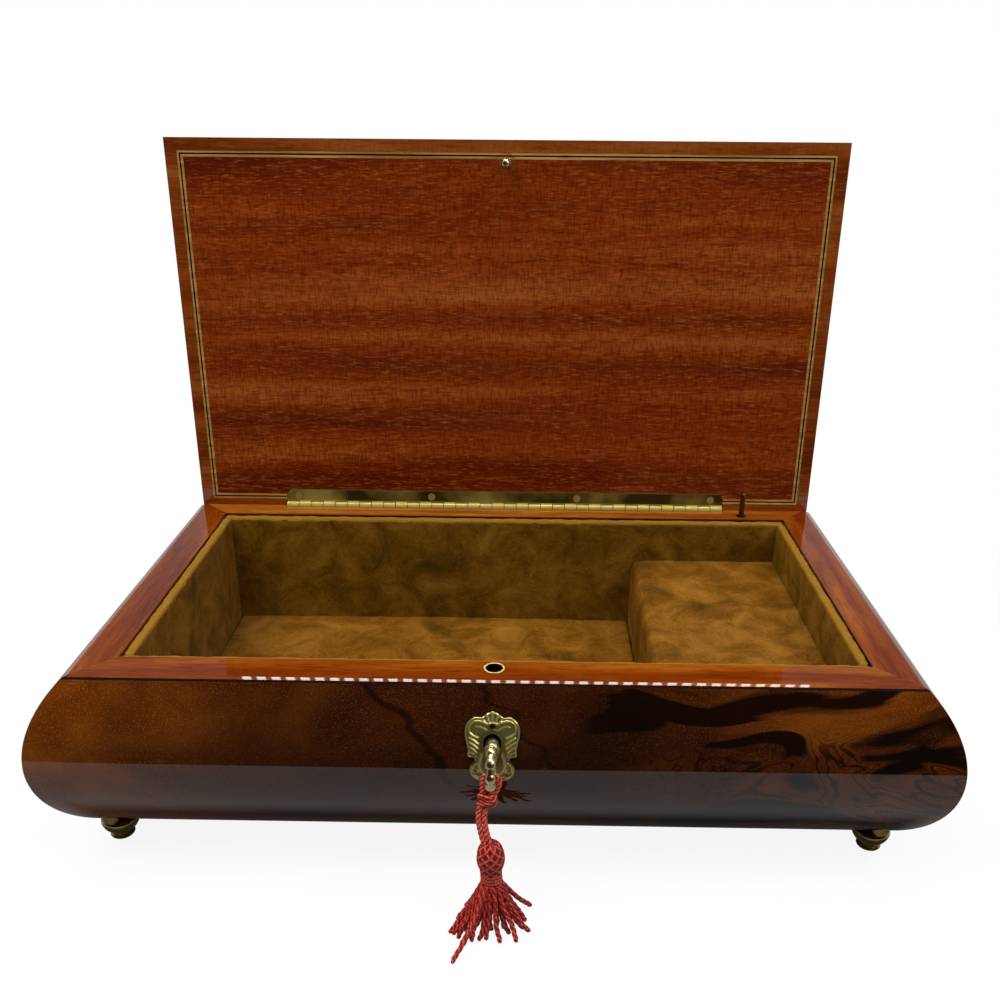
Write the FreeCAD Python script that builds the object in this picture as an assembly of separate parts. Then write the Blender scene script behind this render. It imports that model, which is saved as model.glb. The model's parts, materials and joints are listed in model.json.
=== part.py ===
import FreeCAD, Part
import math
import os

# Musical jewelry box with bombe walls, a hinged lid, a lock with its key and tassel,
# and a cylinder movement in a bay at the right. Millimetres, +Z up, front towards -Y.
# The origin lies on the table, under the middle of the rim.

os.makedirs("parts", exist_ok=True)
V = FreeCAD.Vector

# Carcase
rim_length = 300.0
rim_width = 171.0
rim_height = 76.0
rim_band = 14.3
rim_thickness = 0.9
rim_edge_radius = 4.0
base_thickness = 4.0
base_recess = 3.7
groove_depth = 3.0
groove_gap = 0.2

# Feet
foot_height = 9.5
foot_radius = 7.1
foot_waist_radius = 3.5
foot_bead_radius = 4.6
foot_pad_radius = 2.8
foot_side_inset = 6.6
foot_front_inset = 9.3
foot_screw_radius = 1.5
foot_screw_head_radius = 2.5
foot_screw_grip = 12.0

# Lining
lining_thickness = 3.3
lining_gap = 0.3
lining_drop = 1.0
lining_round = 1.4
floor_lining_thickness = 5.5
floor_lining_round = 2.0

# Bay for the movement
bay_width = 73.1
bay_room = 32.5
bay_board = 3.0
bay_lining_thickness = 2.7
bay_round = 7.0

# Lid
lid_thickness = 12.0
lid_gap = 0.3
lid_open_angle = 92.0
lid_edge_radius = 4.0
veneer_thickness = 0.6
border_width = 5.4
outer_line_width = 0.8
dark_line_width = 0.7
inner_line_width = 1.0
bevel_gap = 0.15

# Piano hinge
hinge_inset = 2.3
knuckle_count = 36
knuckle_pitch = 6.0
knuckle_gap = 0.35
knuckle_radius = 1.7
hinge_pin_radius = 0.8
running_fit = 0.05
leaf_thickness = 1.0
upper_leaf_reach = 8.0
lower_leaf_reach = 7.0
leaf_clip = 2.4
hinge_clearance = 0.3
hinge_screw_places = (-102.0, -36.0, 36.0, 102.0)
hinge_screw_radius = 0.9
hinge_screw_head_radius = 1.8
hinge_screw_length = 8.0

# Strike pin and its ferrule
strike_inset = 9.5
strike_neck_radius = 1.0
strike_ball_radius = 1.9
strike_length = 10.5
strike_flange_radius = 4.4
strike_flange_thickness = 0.6
strike_spigot_radius = 1.4
strike_spigot_length = 5.0
ferrule_radius = 3.75
ferrule_bore_radius = 2.95
ferrule_length = 2.8
ferrule_lip = 0.15

# Lock and key
key_drop = 17.5
key_shank_radius = 2.1
key_shank_reach = 20.1
key_tip_radius = 1.5
key_collar_radius = 2.9
bow_radius = 5.6
bow_wire_radius = 1.6
bow_bead_radius = 2.2
keyhole_radius = 3.1
keyhole_slot_width = 3.0
keyhole_slot_drop = 6.0
lock_half_length = 18.0
lock_depth = 9.4
lock_height = 25.0
lock_headroom = 0.3
lock_wall = 1.0
lock_fit = 0.2
bolt_plate = 1.6
bolt_margin = 1.2
bolt_slot_half = 1.3
bolt_hole_radius = 2.3
cam_radius = 6.0
cam_thickness = 1.8
cam_peg_radius = 0.8
cam_peg_arm = 4.0
key_turn_angle = 90.0
peg_clearance = 0.3
tail_thickness = 1.5

# Escutcheon
escutcheon_thickness = 1.3
escutcheon_half_width = 9.6
escutcheon_top = 9.8
escutcheon_foot = 14.3
escutcheon_seat = 0.1
escutcheon_pin_radius = 0.6
escutcheon_pin_length = 7.0
escutcheon_pin_inset = 4.2

# Cord and tassel
cord_diameter = 1.9
strand_spacing = 2.0
cord_wire_gap = 0.2
cord_loop_drop = 2.2
tassel_top_height = 32.2
tassel_wrap_height = 20.6
tassel_skirt_height = 16.1
tassel_head_radius = 4.75
tassel_neck_radius = 3.9
tassel_forward = 5.9
skirt_half_width = 14.0
skirt_half_depth = 18.0
skirt_lean = 5.0
skirt_pleats = 18
skirt_pleat_depth = 0.14

# Stop rod and lever
rod_side_inset = 33.9
rod_inset = 10.0
rod_radius = 1.3
rod_rise = 12.0
rod_clearance = 0.25
rod_bush_radius = 2.4
rod_bush_length = 6.0
rod_bush_lip = 0.15
lever_arm = 18.0
lever_tail = 11.0
lever_thickness = 1.6
lever_width = 2.0
lever_weight_width = 4.6
lever_weight_height = 3.2
lever_end = 1.5
lever_gap = 0.3
lever_pivot_radius = 0.8
lever_pivot_drop = 6.7
lever_cheek_gap = 0.4
lever_cheek_thickness = 1.6
lever_frame_gap = 2.2

# Movement
bedplate_thickness = 3.0
bedplate_half_width = 29.0
bedplate_post = 3.0
bedplate_post_radius = 4.0
bedplate_margin = 3.0
movement_front_gap = 9.3
movement_screw_radius = 1.5
movement_screw_head_radius = 2.8
barrel_radius = 15.2
barrel_wall = 1.2
barrel_height = 14.8
barrel_flange_thickness = 1.8
barrel_floor_gap = 1.0
crown_inner_radius = 16.0
crown_outer_radius = 18.9
crown_teeth = 44
drive_teeth = 20
drive_module = 0.8
drive_wheel_width = 2.2
drive_wheel_clear = 1.2
cylinder_radius = 7.5
cylinder_arbor_radius = 1.2
pin_height = 0.8
pin_size = 0.4
pins_per_tooth = 2
comb_teeth = 36
comb_tooth_gap = 0.35
comb_tooth_length = 14.0
comb_tooth_thickness = 1.0
comb_back = 6.0
comb_thickness = 2.0
comb_pin_gap = 0.2
comb_screw_radius = 1.0
comb_screw_head_radius = 1.9
comb_screw_head_height = 1.2
comb_screw_length = 7.0
lug_thickness = 2.2
lug_half_width = 6.0
side_gap = 0.3
great_teeth = 48
great_module = 0.4
great_wheel_width = 1.9
pinion_teeth = 8
worm_wheel_teeth = 20
worm_module = 0.6
worm_wheel_width = 2.0
worm_pitch_radius = 1.7
worm_length = 7.5
worm_sides = 10
worm_wheel_gap = 1.5
worm_frame_gap = 4.0
fine_arbor_radius = 0.6
frame_plate = 2.0
frame_arm = 1.8
fan_reach = 10.5
fan_blade_height = 4.5
fan_blade_thickness = 0.4
fan_hub_radius = 1.4
fan_headroom = 2.0
arbor_radius = 2.5
ratchet_radius = 6.5
ratchet_depth = 1.1
ratchet_teeth = 16
ratchet_thickness = 1.2
ratchet_lift = 1.0
click_pivot_radius = 1.0
mainspring_turns = 6
mainspring_thickness = 0.6
winding_boss_radius = 4.0
winding_boss_length = 5.0
winding_wing_span = 26.0
winding_wing_height = 9.0
winding_wing_thickness = 2.0
winding_table_gap = 2.0

# Worked out: the carcase
half_length = rim_length / 2
half_width = rim_width / 2
bulge = 0.2045 * (rim_height - foot_height)
bulge_drop = 0.4587 * (rim_height - foot_height)
bulge_radius = (bulge ** 2 + bulge_drop ** 2) / (2 * bulge)
bulge_centre_out = bulge - bulge_radius
bulge_centre_height = rim_height - bulge_drop
wall_top = rim_height - rim_thickness
base_low = foot_height + base_recess
base_top = base_low + base_thickness
inner_half_length = half_length - rim_band
inner_half_width = half_width - rim_band

# Worked out: the lining and the bay
lining_out = rim_band + lining_gap
lining_in = lining_out + lining_thickness
lining_low = base_top + lining_gap
lining_top = rim_height - lining_drop
bay_left = inner_half_length - bay_width
board_low = base_top + bay_room
board_top = board_low + bay_board
bay_top = board_top + lining_gap + bay_lining_thickness
partition_left = bay_left + bay_lining_thickness + lining_gap
partition_right = partition_left + bay_board

# Worked out: the hinge, with the lid shut
axis_y = half_width - hinge_inset
axis_z = rim_height + lid_gap / 2
lid_face = rim_height + lid_gap
lid_back = lid_face + veneer_thickness
lid_top = lid_face + lid_thickness
hinge_length = knuckle_count * knuckle_pitch
leaf_screw_offset = (knuckle_radius + upper_leaf_reach) / 2

# Worked out: the lock
key_height = rim_height - key_drop
strike_y = strike_inset - half_width
lock_back = strike_y + bolt_margin + bolt_hole_radius + 0.8
lock_front = lock_back - lock_depth
ball_low = lid_face - strike_length
bolt_low = ball_low + 2 * strike_ball_radius + lock_headroom
lock_top = bolt_low + bolt_plate + lock_headroom + lock_wall
lock_low = lock_top - lock_height
bolt_travel = 2 * cam_peg_arm * math.sin(math.radians(key_turn_angle / 2))
cam_front = lock_front + lock_wall + 0.3
tail_front = cam_front + cam_thickness + 0.5
key_surface_y = -half_width - (bulge_centre_out + math.sqrt(
    bulge_radius ** 2 - (key_height - bulge_centre_height) ** 2))
bow_y = key_surface_y - key_shank_reach + bow_radius
bow_low = key_height - bow_radius
tassel_y = bow_y - tassel_forward

# Worked out: the stop
rod_x = half_length - rod_side_inset
rod_y = half_width - rod_inset
lever_y = rod_y - lever_arm
lever_z = board_low - lever_pivot_drop
lever_half_angle = math.degrees(math.asin(rod_rise / 2 / lever_arm))
lever_cosine = math.cos(math.radians(lever_half_angle))
rod_low = lever_z + (rod_rise / 2 + lever_thickness / 2 + lever_gap + rod_radius) / lever_cosine - rod_radius

# Worked out: the movement, from the front wall back to the lever
movement_x = (partition_right + inner_half_length) / 2
bedplate_low = base_top + bedplate_post
bedplate_top = bedplate_low + bedplate_thickness
bedplate_front = movement_front_gap - inner_half_width
bedplate_back = lever_y + bedplate_margin
barrel_y = bedplate_front + bedplate_margin + crown_outer_radius
flange_low = bedplate_top + barrel_floor_gap
flange_top = flange_low + barrel_flange_thickness
drive_pitch_radius = drive_teeth * drive_module / 2
drive_tip_radius = drive_pitch_radius + 0.875 * drive_module
cylinder_z = flange_top + 0.2 + drive_tip_radius
crown_tooth_height = 2.0 * drive_module
drive_front = barrel_y + barrel_radius + drive_wheel_clear
drive_back = drive_front + drive_wheel_width
front_lug_y = drive_back + side_gap
cylinder_front = front_lug_y + lug_thickness + side_gap
frame_y = lever_y - lever_tail - lever_frame_gap - frame_plate
worm_y = frame_y - worm_frame_gap
worm_wheel_front = worm_y - worm_wheel_width / 2
rear_lug_y = worm_wheel_front - worm_wheel_gap - lug_thickness
great_back = rear_lug_y - side_gap
great_front = great_back - great_wheel_width
cylinder_back = great_front
cylinder_length = cylinder_back - cylinder_front
great_pitch_radius = great_teeth * great_module / 2
pinion_pitch_radius = pinion_teeth * great_module / 2
governor_x = movement_x + great_pitch_radius + pinion_pitch_radius
worm_wheel_radius = worm_wheel_teeth * worm_module / 2
worm_x = governor_x + worm_wheel_radius + worm_pitch_radius
frame_top = cylinder_z + 7.2
frame_low_arm = cylinder_z - 6.2
fan_top = board_low - fan_headroom
fan_low = fan_top - fan_blade_height
comb_tip = cylinder_radius + pin_height + comb_pin_gap
comb_root = comb_tip + comb_tooth_length
comb_end = comb_root + comb_back



def save(name, shape):
    """Write one node."""
    shape.exportStep("parts/" + name + ".step")


def block(x0, x1, y0, y1, z0, z1):
    """Box between two corners."""
    return Part.makeBox(x1 - x0, y1 - y0, z1 - z0, V(x0, y0, z0))


def rod(x, y, z, radius, length, direction=V(0, 0, 1)):
    """Round bar from a point along a direction."""
    return Part.makeCylinder(radius, length, V(x, y, z), direction)


def prism(points, reach):
    """Solid of a closed outline of points, carried along a vector."""
    return Part.Face(Part.makePolygon(points + [points[0]])).extrude(reach)


def turned(profile, place, direction=V(0, 0, 1)):
    """Solid turned from (radius, height) pairs about an axis through a place."""
    points = [V(radius, 0, height) for radius, height in profile]
    shape = Part.Face(Part.makePolygon(points + [points[0]])).revolve(V(0, 0, 0), V(0, 0, 1), 360)
    shape.Placement = FreeCAD.Placement(place, FreeCAD.Rotation(V(0, 0, 1), direction))
    return shape


def edges_where(shape, test):
    """Edges whose middle passes a test."""
    return [edge for edge in shape.Edges if test(edge.BoundBox.Center, edge)]


def joined(shapes):
    """One solid of shapes that touch or overlap."""
    return shapes[0].multiFuse(shapes[1:]).removeSplitter()


# Carcase

SIDES = ("front", "rear", "left", "right")


def side_point(side, out, height):
    """Point in the middle of a side, at a distance out from the rim's edge."""
    if side == "front":
        return V(0, -half_width - out, height)
    if side == "rear":
        return V(0, half_width + out, height)
    if side == "left":
        return V(-half_length - out, 0, height)
    return V(half_length + out, 0, height)


def side_run(side):
    """Vector along a side, long enough for its mitres."""
    if side in ("front", "rear"):
        return V(rim_length + 4 * bulge, 0, 0)
    return V(0, rim_width + 4 * bulge, 0)


def out_at(height):
    """How far the bulged face stands out from the rim's edge at a height."""
    return bulge_centre_out + math.sqrt(bulge_radius ** 2 - (height - bulge_centre_height) ** 2)


def mitre_wedge(side):
    """Upright wedge that keeps one side's share of the corners."""
    near = 2 * rim_band
    far = 2 * bulge
    corners = ((-1, far), (1, far), (1, -near), (-1, -near))
    if side in ("front", "rear"):
        way = -1 if side == "front" else 1
        points = [V(turn * (half_length + out), way * (half_width + out), 0) for turn, out in corners]
    else:
        way = -1 if side == "left" else 1
        points = [V(way * (half_length + out), turn * (half_width + out), 0) for turn, out in corners]
    return prism(points, V(0, 0, 2 * rim_height))


def bulged_bar(side, low, high, inner_points):
    """Bar along a side whose outer face is the bulge's arc between two heights."""
    outer_top = side_point(side, out_at(high), high)
    outer_middle = side_point(side, out_at((low + high) / 2), (low + high) / 2)
    outer_low = side_point(side, out_at(low), low)
    inner = [side_point(side, out, height) for out, height in inner_points]
    edges = [Part.Arc(outer_top, outer_middle, outer_low).toShape()]
    chain = [outer_low] + inner + [outer_top]
    edges += [Part.LineSegment(a, b).toShape() for a, b in zip(chain, chain[1:])]
    run = side_run(side)
    return Part.Face(Part.Wire(edges)).extrude(run).translated(run * -0.5)


def side_bar(side):
    """One side in full height: bulged, grooved for the base panel and rounded at the rim's outer edge."""
    inner = ((-rim_band, foot_height), (-rim_band, base_low), (groove_depth - rim_band, base_low),
             (groove_depth - rim_band, base_top), (-rim_band, base_top), (-rim_band, rim_height))
    bar = bulged_bar(side, foot_height, rim_height, inner)
    edge_middle = side_point(side, 0, rim_height)
    outer = edges_where(bar, lambda c, e: (c - edge_middle).Length < 0.01)
    return bar.makeFillet(rim_edge_radius, outer).common(mitre_wedge(side))


def slab(low, high):
    """Everything between two heights."""
    return block(-rim_length, rim_length, -rim_width, rim_width, low, high)


def wall(side):
    """Walnut wall under the rim's veneer."""
    return side_bar(side).common(slab(0, wall_top))


def rim(side):
    """Mahogany veneer on top of a wall."""
    return side_bar(side).common(slab(wall_top, 2 * rim_height))


def base_panel():
    """Bottom panel, let into the walls' grooves."""
    reach = groove_depth - groove_gap
    x = inner_half_length + reach
    y = inner_half_width + reach
    return block(-x, x, -y, y, base_low, base_top)


FOOT_PLACES = {
    "foot_front_left": (foot_side_inset - half_length, foot_front_inset - half_width),
    "foot_front_right": (half_length - foot_side_inset, foot_front_inset - half_width),
    "foot_rear_left": (foot_side_inset - half_length, half_width - foot_front_inset),
    "foot_rear_right": (half_length - foot_side_inset, half_width - foot_front_inset),
}


def screw_profile(head_radius, shank_radius, length, grow=0.0):
    """Countersunk screw, head up at height 0, grown by a clearance."""
    cone = head_radius - shank_radius
    return ((0, grow), (head_radius + grow, grow), (head_radius + grow, 0), (shank_radius + grow, -cone),
            (shank_radius + grow, -length - grow), (0, -length - grow))


def foot_screw(place, grow=0.0):
    """Screw up through a foot into the corner of the walls."""
    head_height = 0.25 * foot_height
    length = foot_height - head_height + foot_screw_grip
    profile = screw_profile(foot_screw_head_radius, foot_screw_radius, length, grow)
    return turned(profile, V(place[0], place[1], head_height), V(0, 0, -1))


def foot(place):
    """Turned brass foot: a flared bowl with a lip over a round bead and a pad, hollow for its screw."""
    tall = foot_height
    profile = ((0, tall), (0.93 * foot_radius, tall), (foot_radius, 0.93 * tall), (foot_radius, 0.82 * tall),
               (0.92 * foot_radius, 0.64 * tall), (0.74 * foot_radius, 0.47 * tall),
               (foot_waist_radius, 0.35 * tall), (foot_waist_radius, 0.12 * tall),
               (foot_pad_radius, 0.06 * tall), (foot_pad_radius, 0), (0, 0))
    bead_round = 0.14 * tall
    bead = Part.makeTorus(foot_bead_radius - bead_round, bead_round, V(0, 0, 0.175 * tall))
    body = joined([turned(profile, V(0, 0, 0)), bead]).translated(V(place[0], place[1], 0))
    head_well = rod(place[0], place[1], -1, foot_screw_head_radius + running_fit, 1 + 0.25 * foot_height)
    return body.cut(joined([foot_screw(place, running_fit), head_well]))


# Lining and bay

def pad_face(points, reach, rounded, radius):
    """Prism with its marked edges rounded."""
    solid = prism(points, reach)
    return solid.makeFillet(radius, edges_where(solid, rounded))


def long_lining(way):
    """Pad on the front or rear wall, stepped over the bay; way is -1 or 1."""
    x0 = lining_gap - inner_half_length
    x1 = partition_left - lining_gap
    x2 = inner_half_length - lining_gap
    step = board_top + lining_gap
    y = way * (half_width - lining_in)
    outline = ((x0, lining_low), (x1, lining_low), (x1, step), (x2, step), (x2, lining_top), (x0, lining_top))
    points = [V(a, y, b) for a, b in outline]
    top_inner = lambda c, e: abs(c.z - lining_top) < 0.01 and abs(c.y - y) < 0.01
    return pad_face(points, V(0, way * lining_thickness, 0), top_inner, lining_round)


def side_lining(way):
    """Pad on the left or right wall, between the long pads; way is -1 or 1."""
    low = lining_low if way < 0 else board_top + lining_gap
    x = way * (half_length - lining_in)
    y = half_width - lining_in - lining_gap
    points = [V(x, -y, low), V(x, y, low), V(x, y, lining_top), V(x, -y, lining_top)]
    top_inner = lambda c, e: abs(c.z - lining_top) < 0.01 and abs(c.x - x) < 0.01
    return pad_face(points, V(way * lining_thickness, 0, 0), top_inner, lining_round)


def floor_lining():
    """Padded floor of the main compartment."""
    x0 = lining_in + lining_gap - half_length
    x1 = bay_left - lining_gap
    y = half_width - lining_in - lining_gap
    top = lining_low + floor_lining_thickness
    points = [V(x0, -y, lining_low), V(x1, -y, lining_low), V(x1, y, lining_low), V(x0, y, lining_low)]
    upper = lambda c, e: abs(c.z - top) < 0.01
    return pad_face(points, V(0, 0, floor_lining_thickness), upper, floor_lining_round)


def bay_lining():
    """Plush over the bay's side and top, in one piece with a rounded corner."""
    x1 = half_length - lining_in - lining_gap
    y = half_width - lining_in - lining_gap
    inner_x = bay_left + bay_lining_thickness
    inner_z = bay_top - bay_lining_thickness
    outline = ((bay_left, lining_low), (inner_x, lining_low), (inner_x, inner_z), (x1, inner_z),
               (x1, bay_top), (bay_left, bay_top))
    points = [V(a, -y, b) for a, b in outline]
    corner = lambda c, e: abs(c.x - bay_left) < 0.01 and abs(c.z - bay_top) < 0.01
    return pad_face(points, V(0, 2 * y, 0), corner, bay_round)


def bay_partition():
    """Board between the main compartment and the movement."""
    return block(partition_left, partition_right, -inner_half_width, inner_half_width, base_top, board_low)


def bay_board_top():
    """Board over the movement, from wall to wall."""
    return block(partition_left, inner_half_length, -inner_half_width, inner_half_width, board_low, board_top)


# Lid and hinge. Each piece of the lid is drawn shut and then swung open.

def swung(shape):
    """Turn a piece of the shut lid to its open rest."""
    return shape.rotated(V(0, axis_y, axis_z), V(1, 0, 0), -lid_open_angle)


def along_hinge(points, half):
    """Prism along the hinge from (y, z) pairs counted from its axis."""
    return prism([V(-half, axis_y + y, axis_z + z) for y, z in points], V(2 * half, 0, 0))


def lid_relief():
    """Room in the rear edge of the carcase for the lid's rear edge when it stands open."""
    slope = math.tan(math.radians(lid_open_angle / 2))
    lean = math.tan(math.radians(lid_open_angle - 90))
    drop = bevel_gap / math.cos(math.radians(lid_open_angle / 2))
    step = hinge_inset + bevel_gap
    far = lid_thickness + 2 * bulge
    step_low = -step * slope - drop
    points = ((0, 1), (0, -drop), (step, step_low), (far, step_low - (far - step) * lean), (far, 1))
    return along_hinge(points, half_length + 2 * bulge)


def lid_bevel():
    """Wedge taken off the lid's lower rear edge, which stops it when open."""
    slope = math.tan(math.radians(lid_open_angle / 2))
    far = 2 * hinge_inset
    return along_hinge(((0, -1), (0, 0), (far, far * slope), (far, -1)), half_length + 1)


def knuckle_room():
    """Round channel for the knuckles in the wood."""
    half = hinge_length / 2 + hinge_clearance
    return rod(-half, axis_y, axis_z, knuckle_radius + hinge_clearance, 2 * half, V(1, 0, 0))


def upper_leaf_plate(grow=0.0):
    """Flat of the lid's leaf, flush with the lid's inner face, with clipped corners."""
    half = hinge_length / 2 + grow
    reach = upper_leaf_reach + grow
    outline = ((-half, 0), (half, 0), (half, leaf_clip - reach), (half - leaf_clip, -reach),
               (leaf_clip - half, -reach), (-half, leaf_clip - reach))
    points = [V(x, axis_y + y, lid_face) for x, y in outline]
    return prism(points, V(0, 0, leaf_thickness + grow))


def lower_leaf_plate():
    """Flat of the case's leaf, upright in a kerf under the knuckles."""
    half = hinge_length / 2
    return block(-half, half, axis_y - leaf_thickness / 2, axis_y + leaf_thickness / 2,
                 axis_z - lower_leaf_reach, axis_z)


def hinge_screws(grow=0.0):
    """Countersunk screws through the upper leaf into the lid."""
    profile = screw_profile(hinge_screw_head_radius, hinge_screw_radius, hinge_screw_length, grow)
    row = axis_y - leaf_screw_offset
    return [turned(profile, V(x, row, lid_face), V(0, 0, -1)) for x in hinge_screw_places]


def hinge_leaf(plate, first):
    """Plate with every second knuckle from the first, bored for the pin."""
    start = -hinge_length / 2
    own = [n for n in range(knuckle_count) if n % 2 == first]
    other = [n for n in range(knuckle_count) if n % 2 != first]
    length = knuckle_pitch - knuckle_gap
    half_gap = knuckle_gap / 2
    knuckles = [rod(start + n * knuckle_pitch + half_gap, axis_y, axis_z, knuckle_radius, length, V(1, 0, 0))
                for n in own]
    room = knuckle_radius + knuckle_gap
    notches = [block(start + n * knuckle_pitch - half_gap, start + (n + 1) * knuckle_pitch + half_gap,
                     axis_y - room, axis_y + room, axis_z - room, axis_z + room) for n in other]
    bore = rod(start - 1, axis_y, axis_z, hinge_pin_radius + running_fit, hinge_length + 2, V(1, 0, 0))
    leaf = plate.cut(Part.makeCompound(notches)).multiFuse(knuckles)
    return leaf.cut(bore).removeSplitter()


def hinge_pin():
    """Pin through all the knuckles."""
    return rod(-hinge_length / 2, axis_y, axis_z, hinge_pin_radius, hinge_length, V(1, 0, 0))


def strike_room():
    """Hole in the lid for the strike pin's flange and spigot."""
    wide = rod(0, strike_y, lid_face - 1, strike_flange_radius + running_fit, 1 + strike_flange_thickness)
    deep = rod(0, strike_y, lid_face, strike_spigot_radius + running_fit,
               strike_flange_thickness + strike_spigot_length + running_fit)
    return joined([wide, deep])


def strike_pin():
    """Ball-headed pin that the lock's bolt holds."""
    ball = Part.makeSphere(strike_ball_radius, V(0, strike_y, ball_low + strike_ball_radius))
    neck_length = strike_length - strike_ball_radius
    neck = rod(0, strike_y, ball_low + strike_ball_radius, strike_neck_radius, neck_length)
    flange = rod(0, strike_y, lid_face, strike_flange_radius, strike_flange_thickness)
    spigot = rod(0, strike_y, lid_face, strike_spigot_radius, strike_flange_thickness + strike_spigot_length)
    return joined([ball, neck, flange, spigot])


def lid_cuts():
    """Everything that is cut into the lid's inner face."""
    screws = Part.makeCompound(hinge_screws(running_fit))
    return [lid_bevel(), knuckle_room(), upper_leaf_plate(running_fit), screws, strike_room()]


def cut_all(shape, tools):
    """Cut several tools from a shape, one by one."""
    for tool in tools:
        shape = shape.cut(tool)
    return shape


def lid_panel():
    """Panel of the lid with rounded outer edges."""
    panel = block(-half_length, half_length, -half_width, half_width, lid_back, lid_top)
    upper = edges_where(panel, lambda c, e: abs(c.z - lid_top) < 0.01)
    return cut_all(panel.makeFillet(lid_edge_radius, upper), lid_cuts())


def veneer_ring(outer, inner):
    """Flat ring of veneer between two distances in from the lid's edge."""
    whole = block(outer - half_length, half_length - outer, outer - half_width, half_width - outer,
                  lid_face, lid_back)
    hole = block(inner - half_length, half_length - inner, inner - half_width, half_width - inner,
                 lid_face - 1, lid_back + 1)
    return whole.cut(hole)


def veneer_strips(outer, inner):
    """The ring as four mitred strips."""
    ring = cut_all(veneer_ring(outer, inner), lid_cuts())
    strips = [ring.common(mitre_wedge(side)) for side in SIDES]
    return Part.makeCompound([solid for strip in strips for solid in strip.Solids])


def lid_field():
    """Figured veneer inside the lines."""
    edge = border_width + outer_line_width + dark_line_width + inner_line_width
    field = block(edge - half_length, half_length - edge, edge - half_width, half_width - edge,
                  lid_face, lid_back)
    return cut_all(field, lid_cuts())


# Strike ferrule, lock, key and escutcheon

def ferrule(grow=0.0):
    """Brass ferrule in the front rim."""
    outer = rod(0, strike_y, rim_height - ferrule_length - grow, ferrule_radius + grow,
                ferrule_length + ferrule_lip + grow)
    if grow:
        return outer
    bore = rod(0, strike_y, rim_height - 2 * ferrule_length, ferrule_bore_radius, 3 * ferrule_length)
    return outer.cut(bore)


def lock_box(grow):
    """Outside of the lock's case, grown by a fit."""
    return block(-lock_half_length - grow, lock_half_length + grow, lock_front - grow, lock_back + grow,
                 lock_low - grow, lock_top + grow)


def lock_pocket():
    """Pocket in the front wall, open to the inside, with the ways for the strike pin and the key."""
    mouth = block(-lock_half_length - lock_fit, lock_half_length + lock_fit, lock_front - lock_fit,
                  lining_gap - inner_half_width, lock_low - lock_fit, lock_top + lock_fit)
    way_down = rod(0, strike_y, lock_top, ferrule_bore_radius, rim_height - lock_top)
    key_way = rod(0, key_surface_y - 2 * bulge, key_height, keyhole_radius, 4 * bulge, V(0, 1, 0))
    front_only = block(-half_length, half_length, key_surface_y - 2 * bulge, lock_front, 0, rim_height)
    return joined([mouth, way_down, key_way.common(front_only)])


def lock_case():
    """Pressed case, open at the back where the lining covers it."""
    hollow = block(lock_wall - lock_half_length, lock_half_length - lock_wall,
                   lock_front + lock_wall, lock_back + 1, lock_low + lock_wall, lock_top - lock_wall)
    way_down = rod(0, strike_y, lock_top - 2 * lock_wall, ferrule_bore_radius, 3 * lock_wall)
    key_way = rod(0, lock_front - 1, key_height, key_shank_radius + 0.4, 2 + lock_wall, V(0, 1, 0))
    return cut_all(lock_box(0), [hollow, way_down, key_way])


def lock_bolt():
    """Flat bolt whose slot closes round the strike pin's neck, with a tail that the cam's peg moves."""
    reach = bolt_hole_radius + bolt_margin
    arm_x = bolt_hole_radius + strike_ball_radius + 1.6
    arm_width = 4.5
    plate = block(-bolt_travel - bolt_slot_half - bolt_margin, arm_x + arm_width,
                  strike_y - reach, strike_y + reach, bolt_low, bolt_low + bolt_plate)
    hole = rod(0, strike_y, bolt_low - 1, bolt_hole_radius, bolt_plate + 2)
    slot = block(-bolt_travel, 0, strike_y - bolt_slot_half, strike_y + bolt_slot_half,
                 bolt_low - 1, bolt_low + bolt_plate + 1)
    slot_end = rod(-bolt_travel, strike_y, bolt_low - 1, bolt_slot_half, bolt_plate + 2)
    peg_x = -bolt_travel / 2
    peg_half = cam_peg_radius + peg_clearance
    peg_low = key_height + cam_peg_arm * math.cos(math.radians(key_turn_angle / 2)) - peg_half
    peg_high = key_height + cam_peg_arm + peg_half
    tail_low = peg_low - bolt_margin
    tail_high = peg_high + bolt_margin
    tail_back = tail_front + tail_thickness
    foot_plate = block(peg_x - peg_half - bolt_margin, arm_x + arm_width, tail_front, tail_back,
                       tail_low, tail_high)
    arm = block(arm_x, arm_x + arm_width, tail_front, tail_back, tail_low, bolt_low + bolt_plate)
    peg_slot = block(peg_x - peg_half, peg_x + peg_half, tail_front - 1, tail_back + 1, peg_low, peg_high)
    return cut_all(joined([plate, foot_plate, arm]), [joined([hole, slot, slot_end]), peg_slot])


def lock_cam():
    """Disc that the key turns, with the peg that moves the bolt."""
    angle = math.radians(key_turn_angle / 2)
    disc = rod(0, cam_front, key_height, cam_radius, cam_thickness, V(0, 1, 0))
    peg_reach = tail_front + tail_thickness + 0.3 - cam_front
    peg = rod(-cam_peg_arm * math.sin(angle), cam_front, key_height + cam_peg_arm * math.cos(angle),
              cam_peg_radius, peg_reach, V(0, 1, 0))
    socket = rod(0, cam_front - 1, key_height, key_tip_radius + running_fit, cam_thickness + 2, V(0, 1, 0))
    return joined([disc, peg]).cut(socket)


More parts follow.
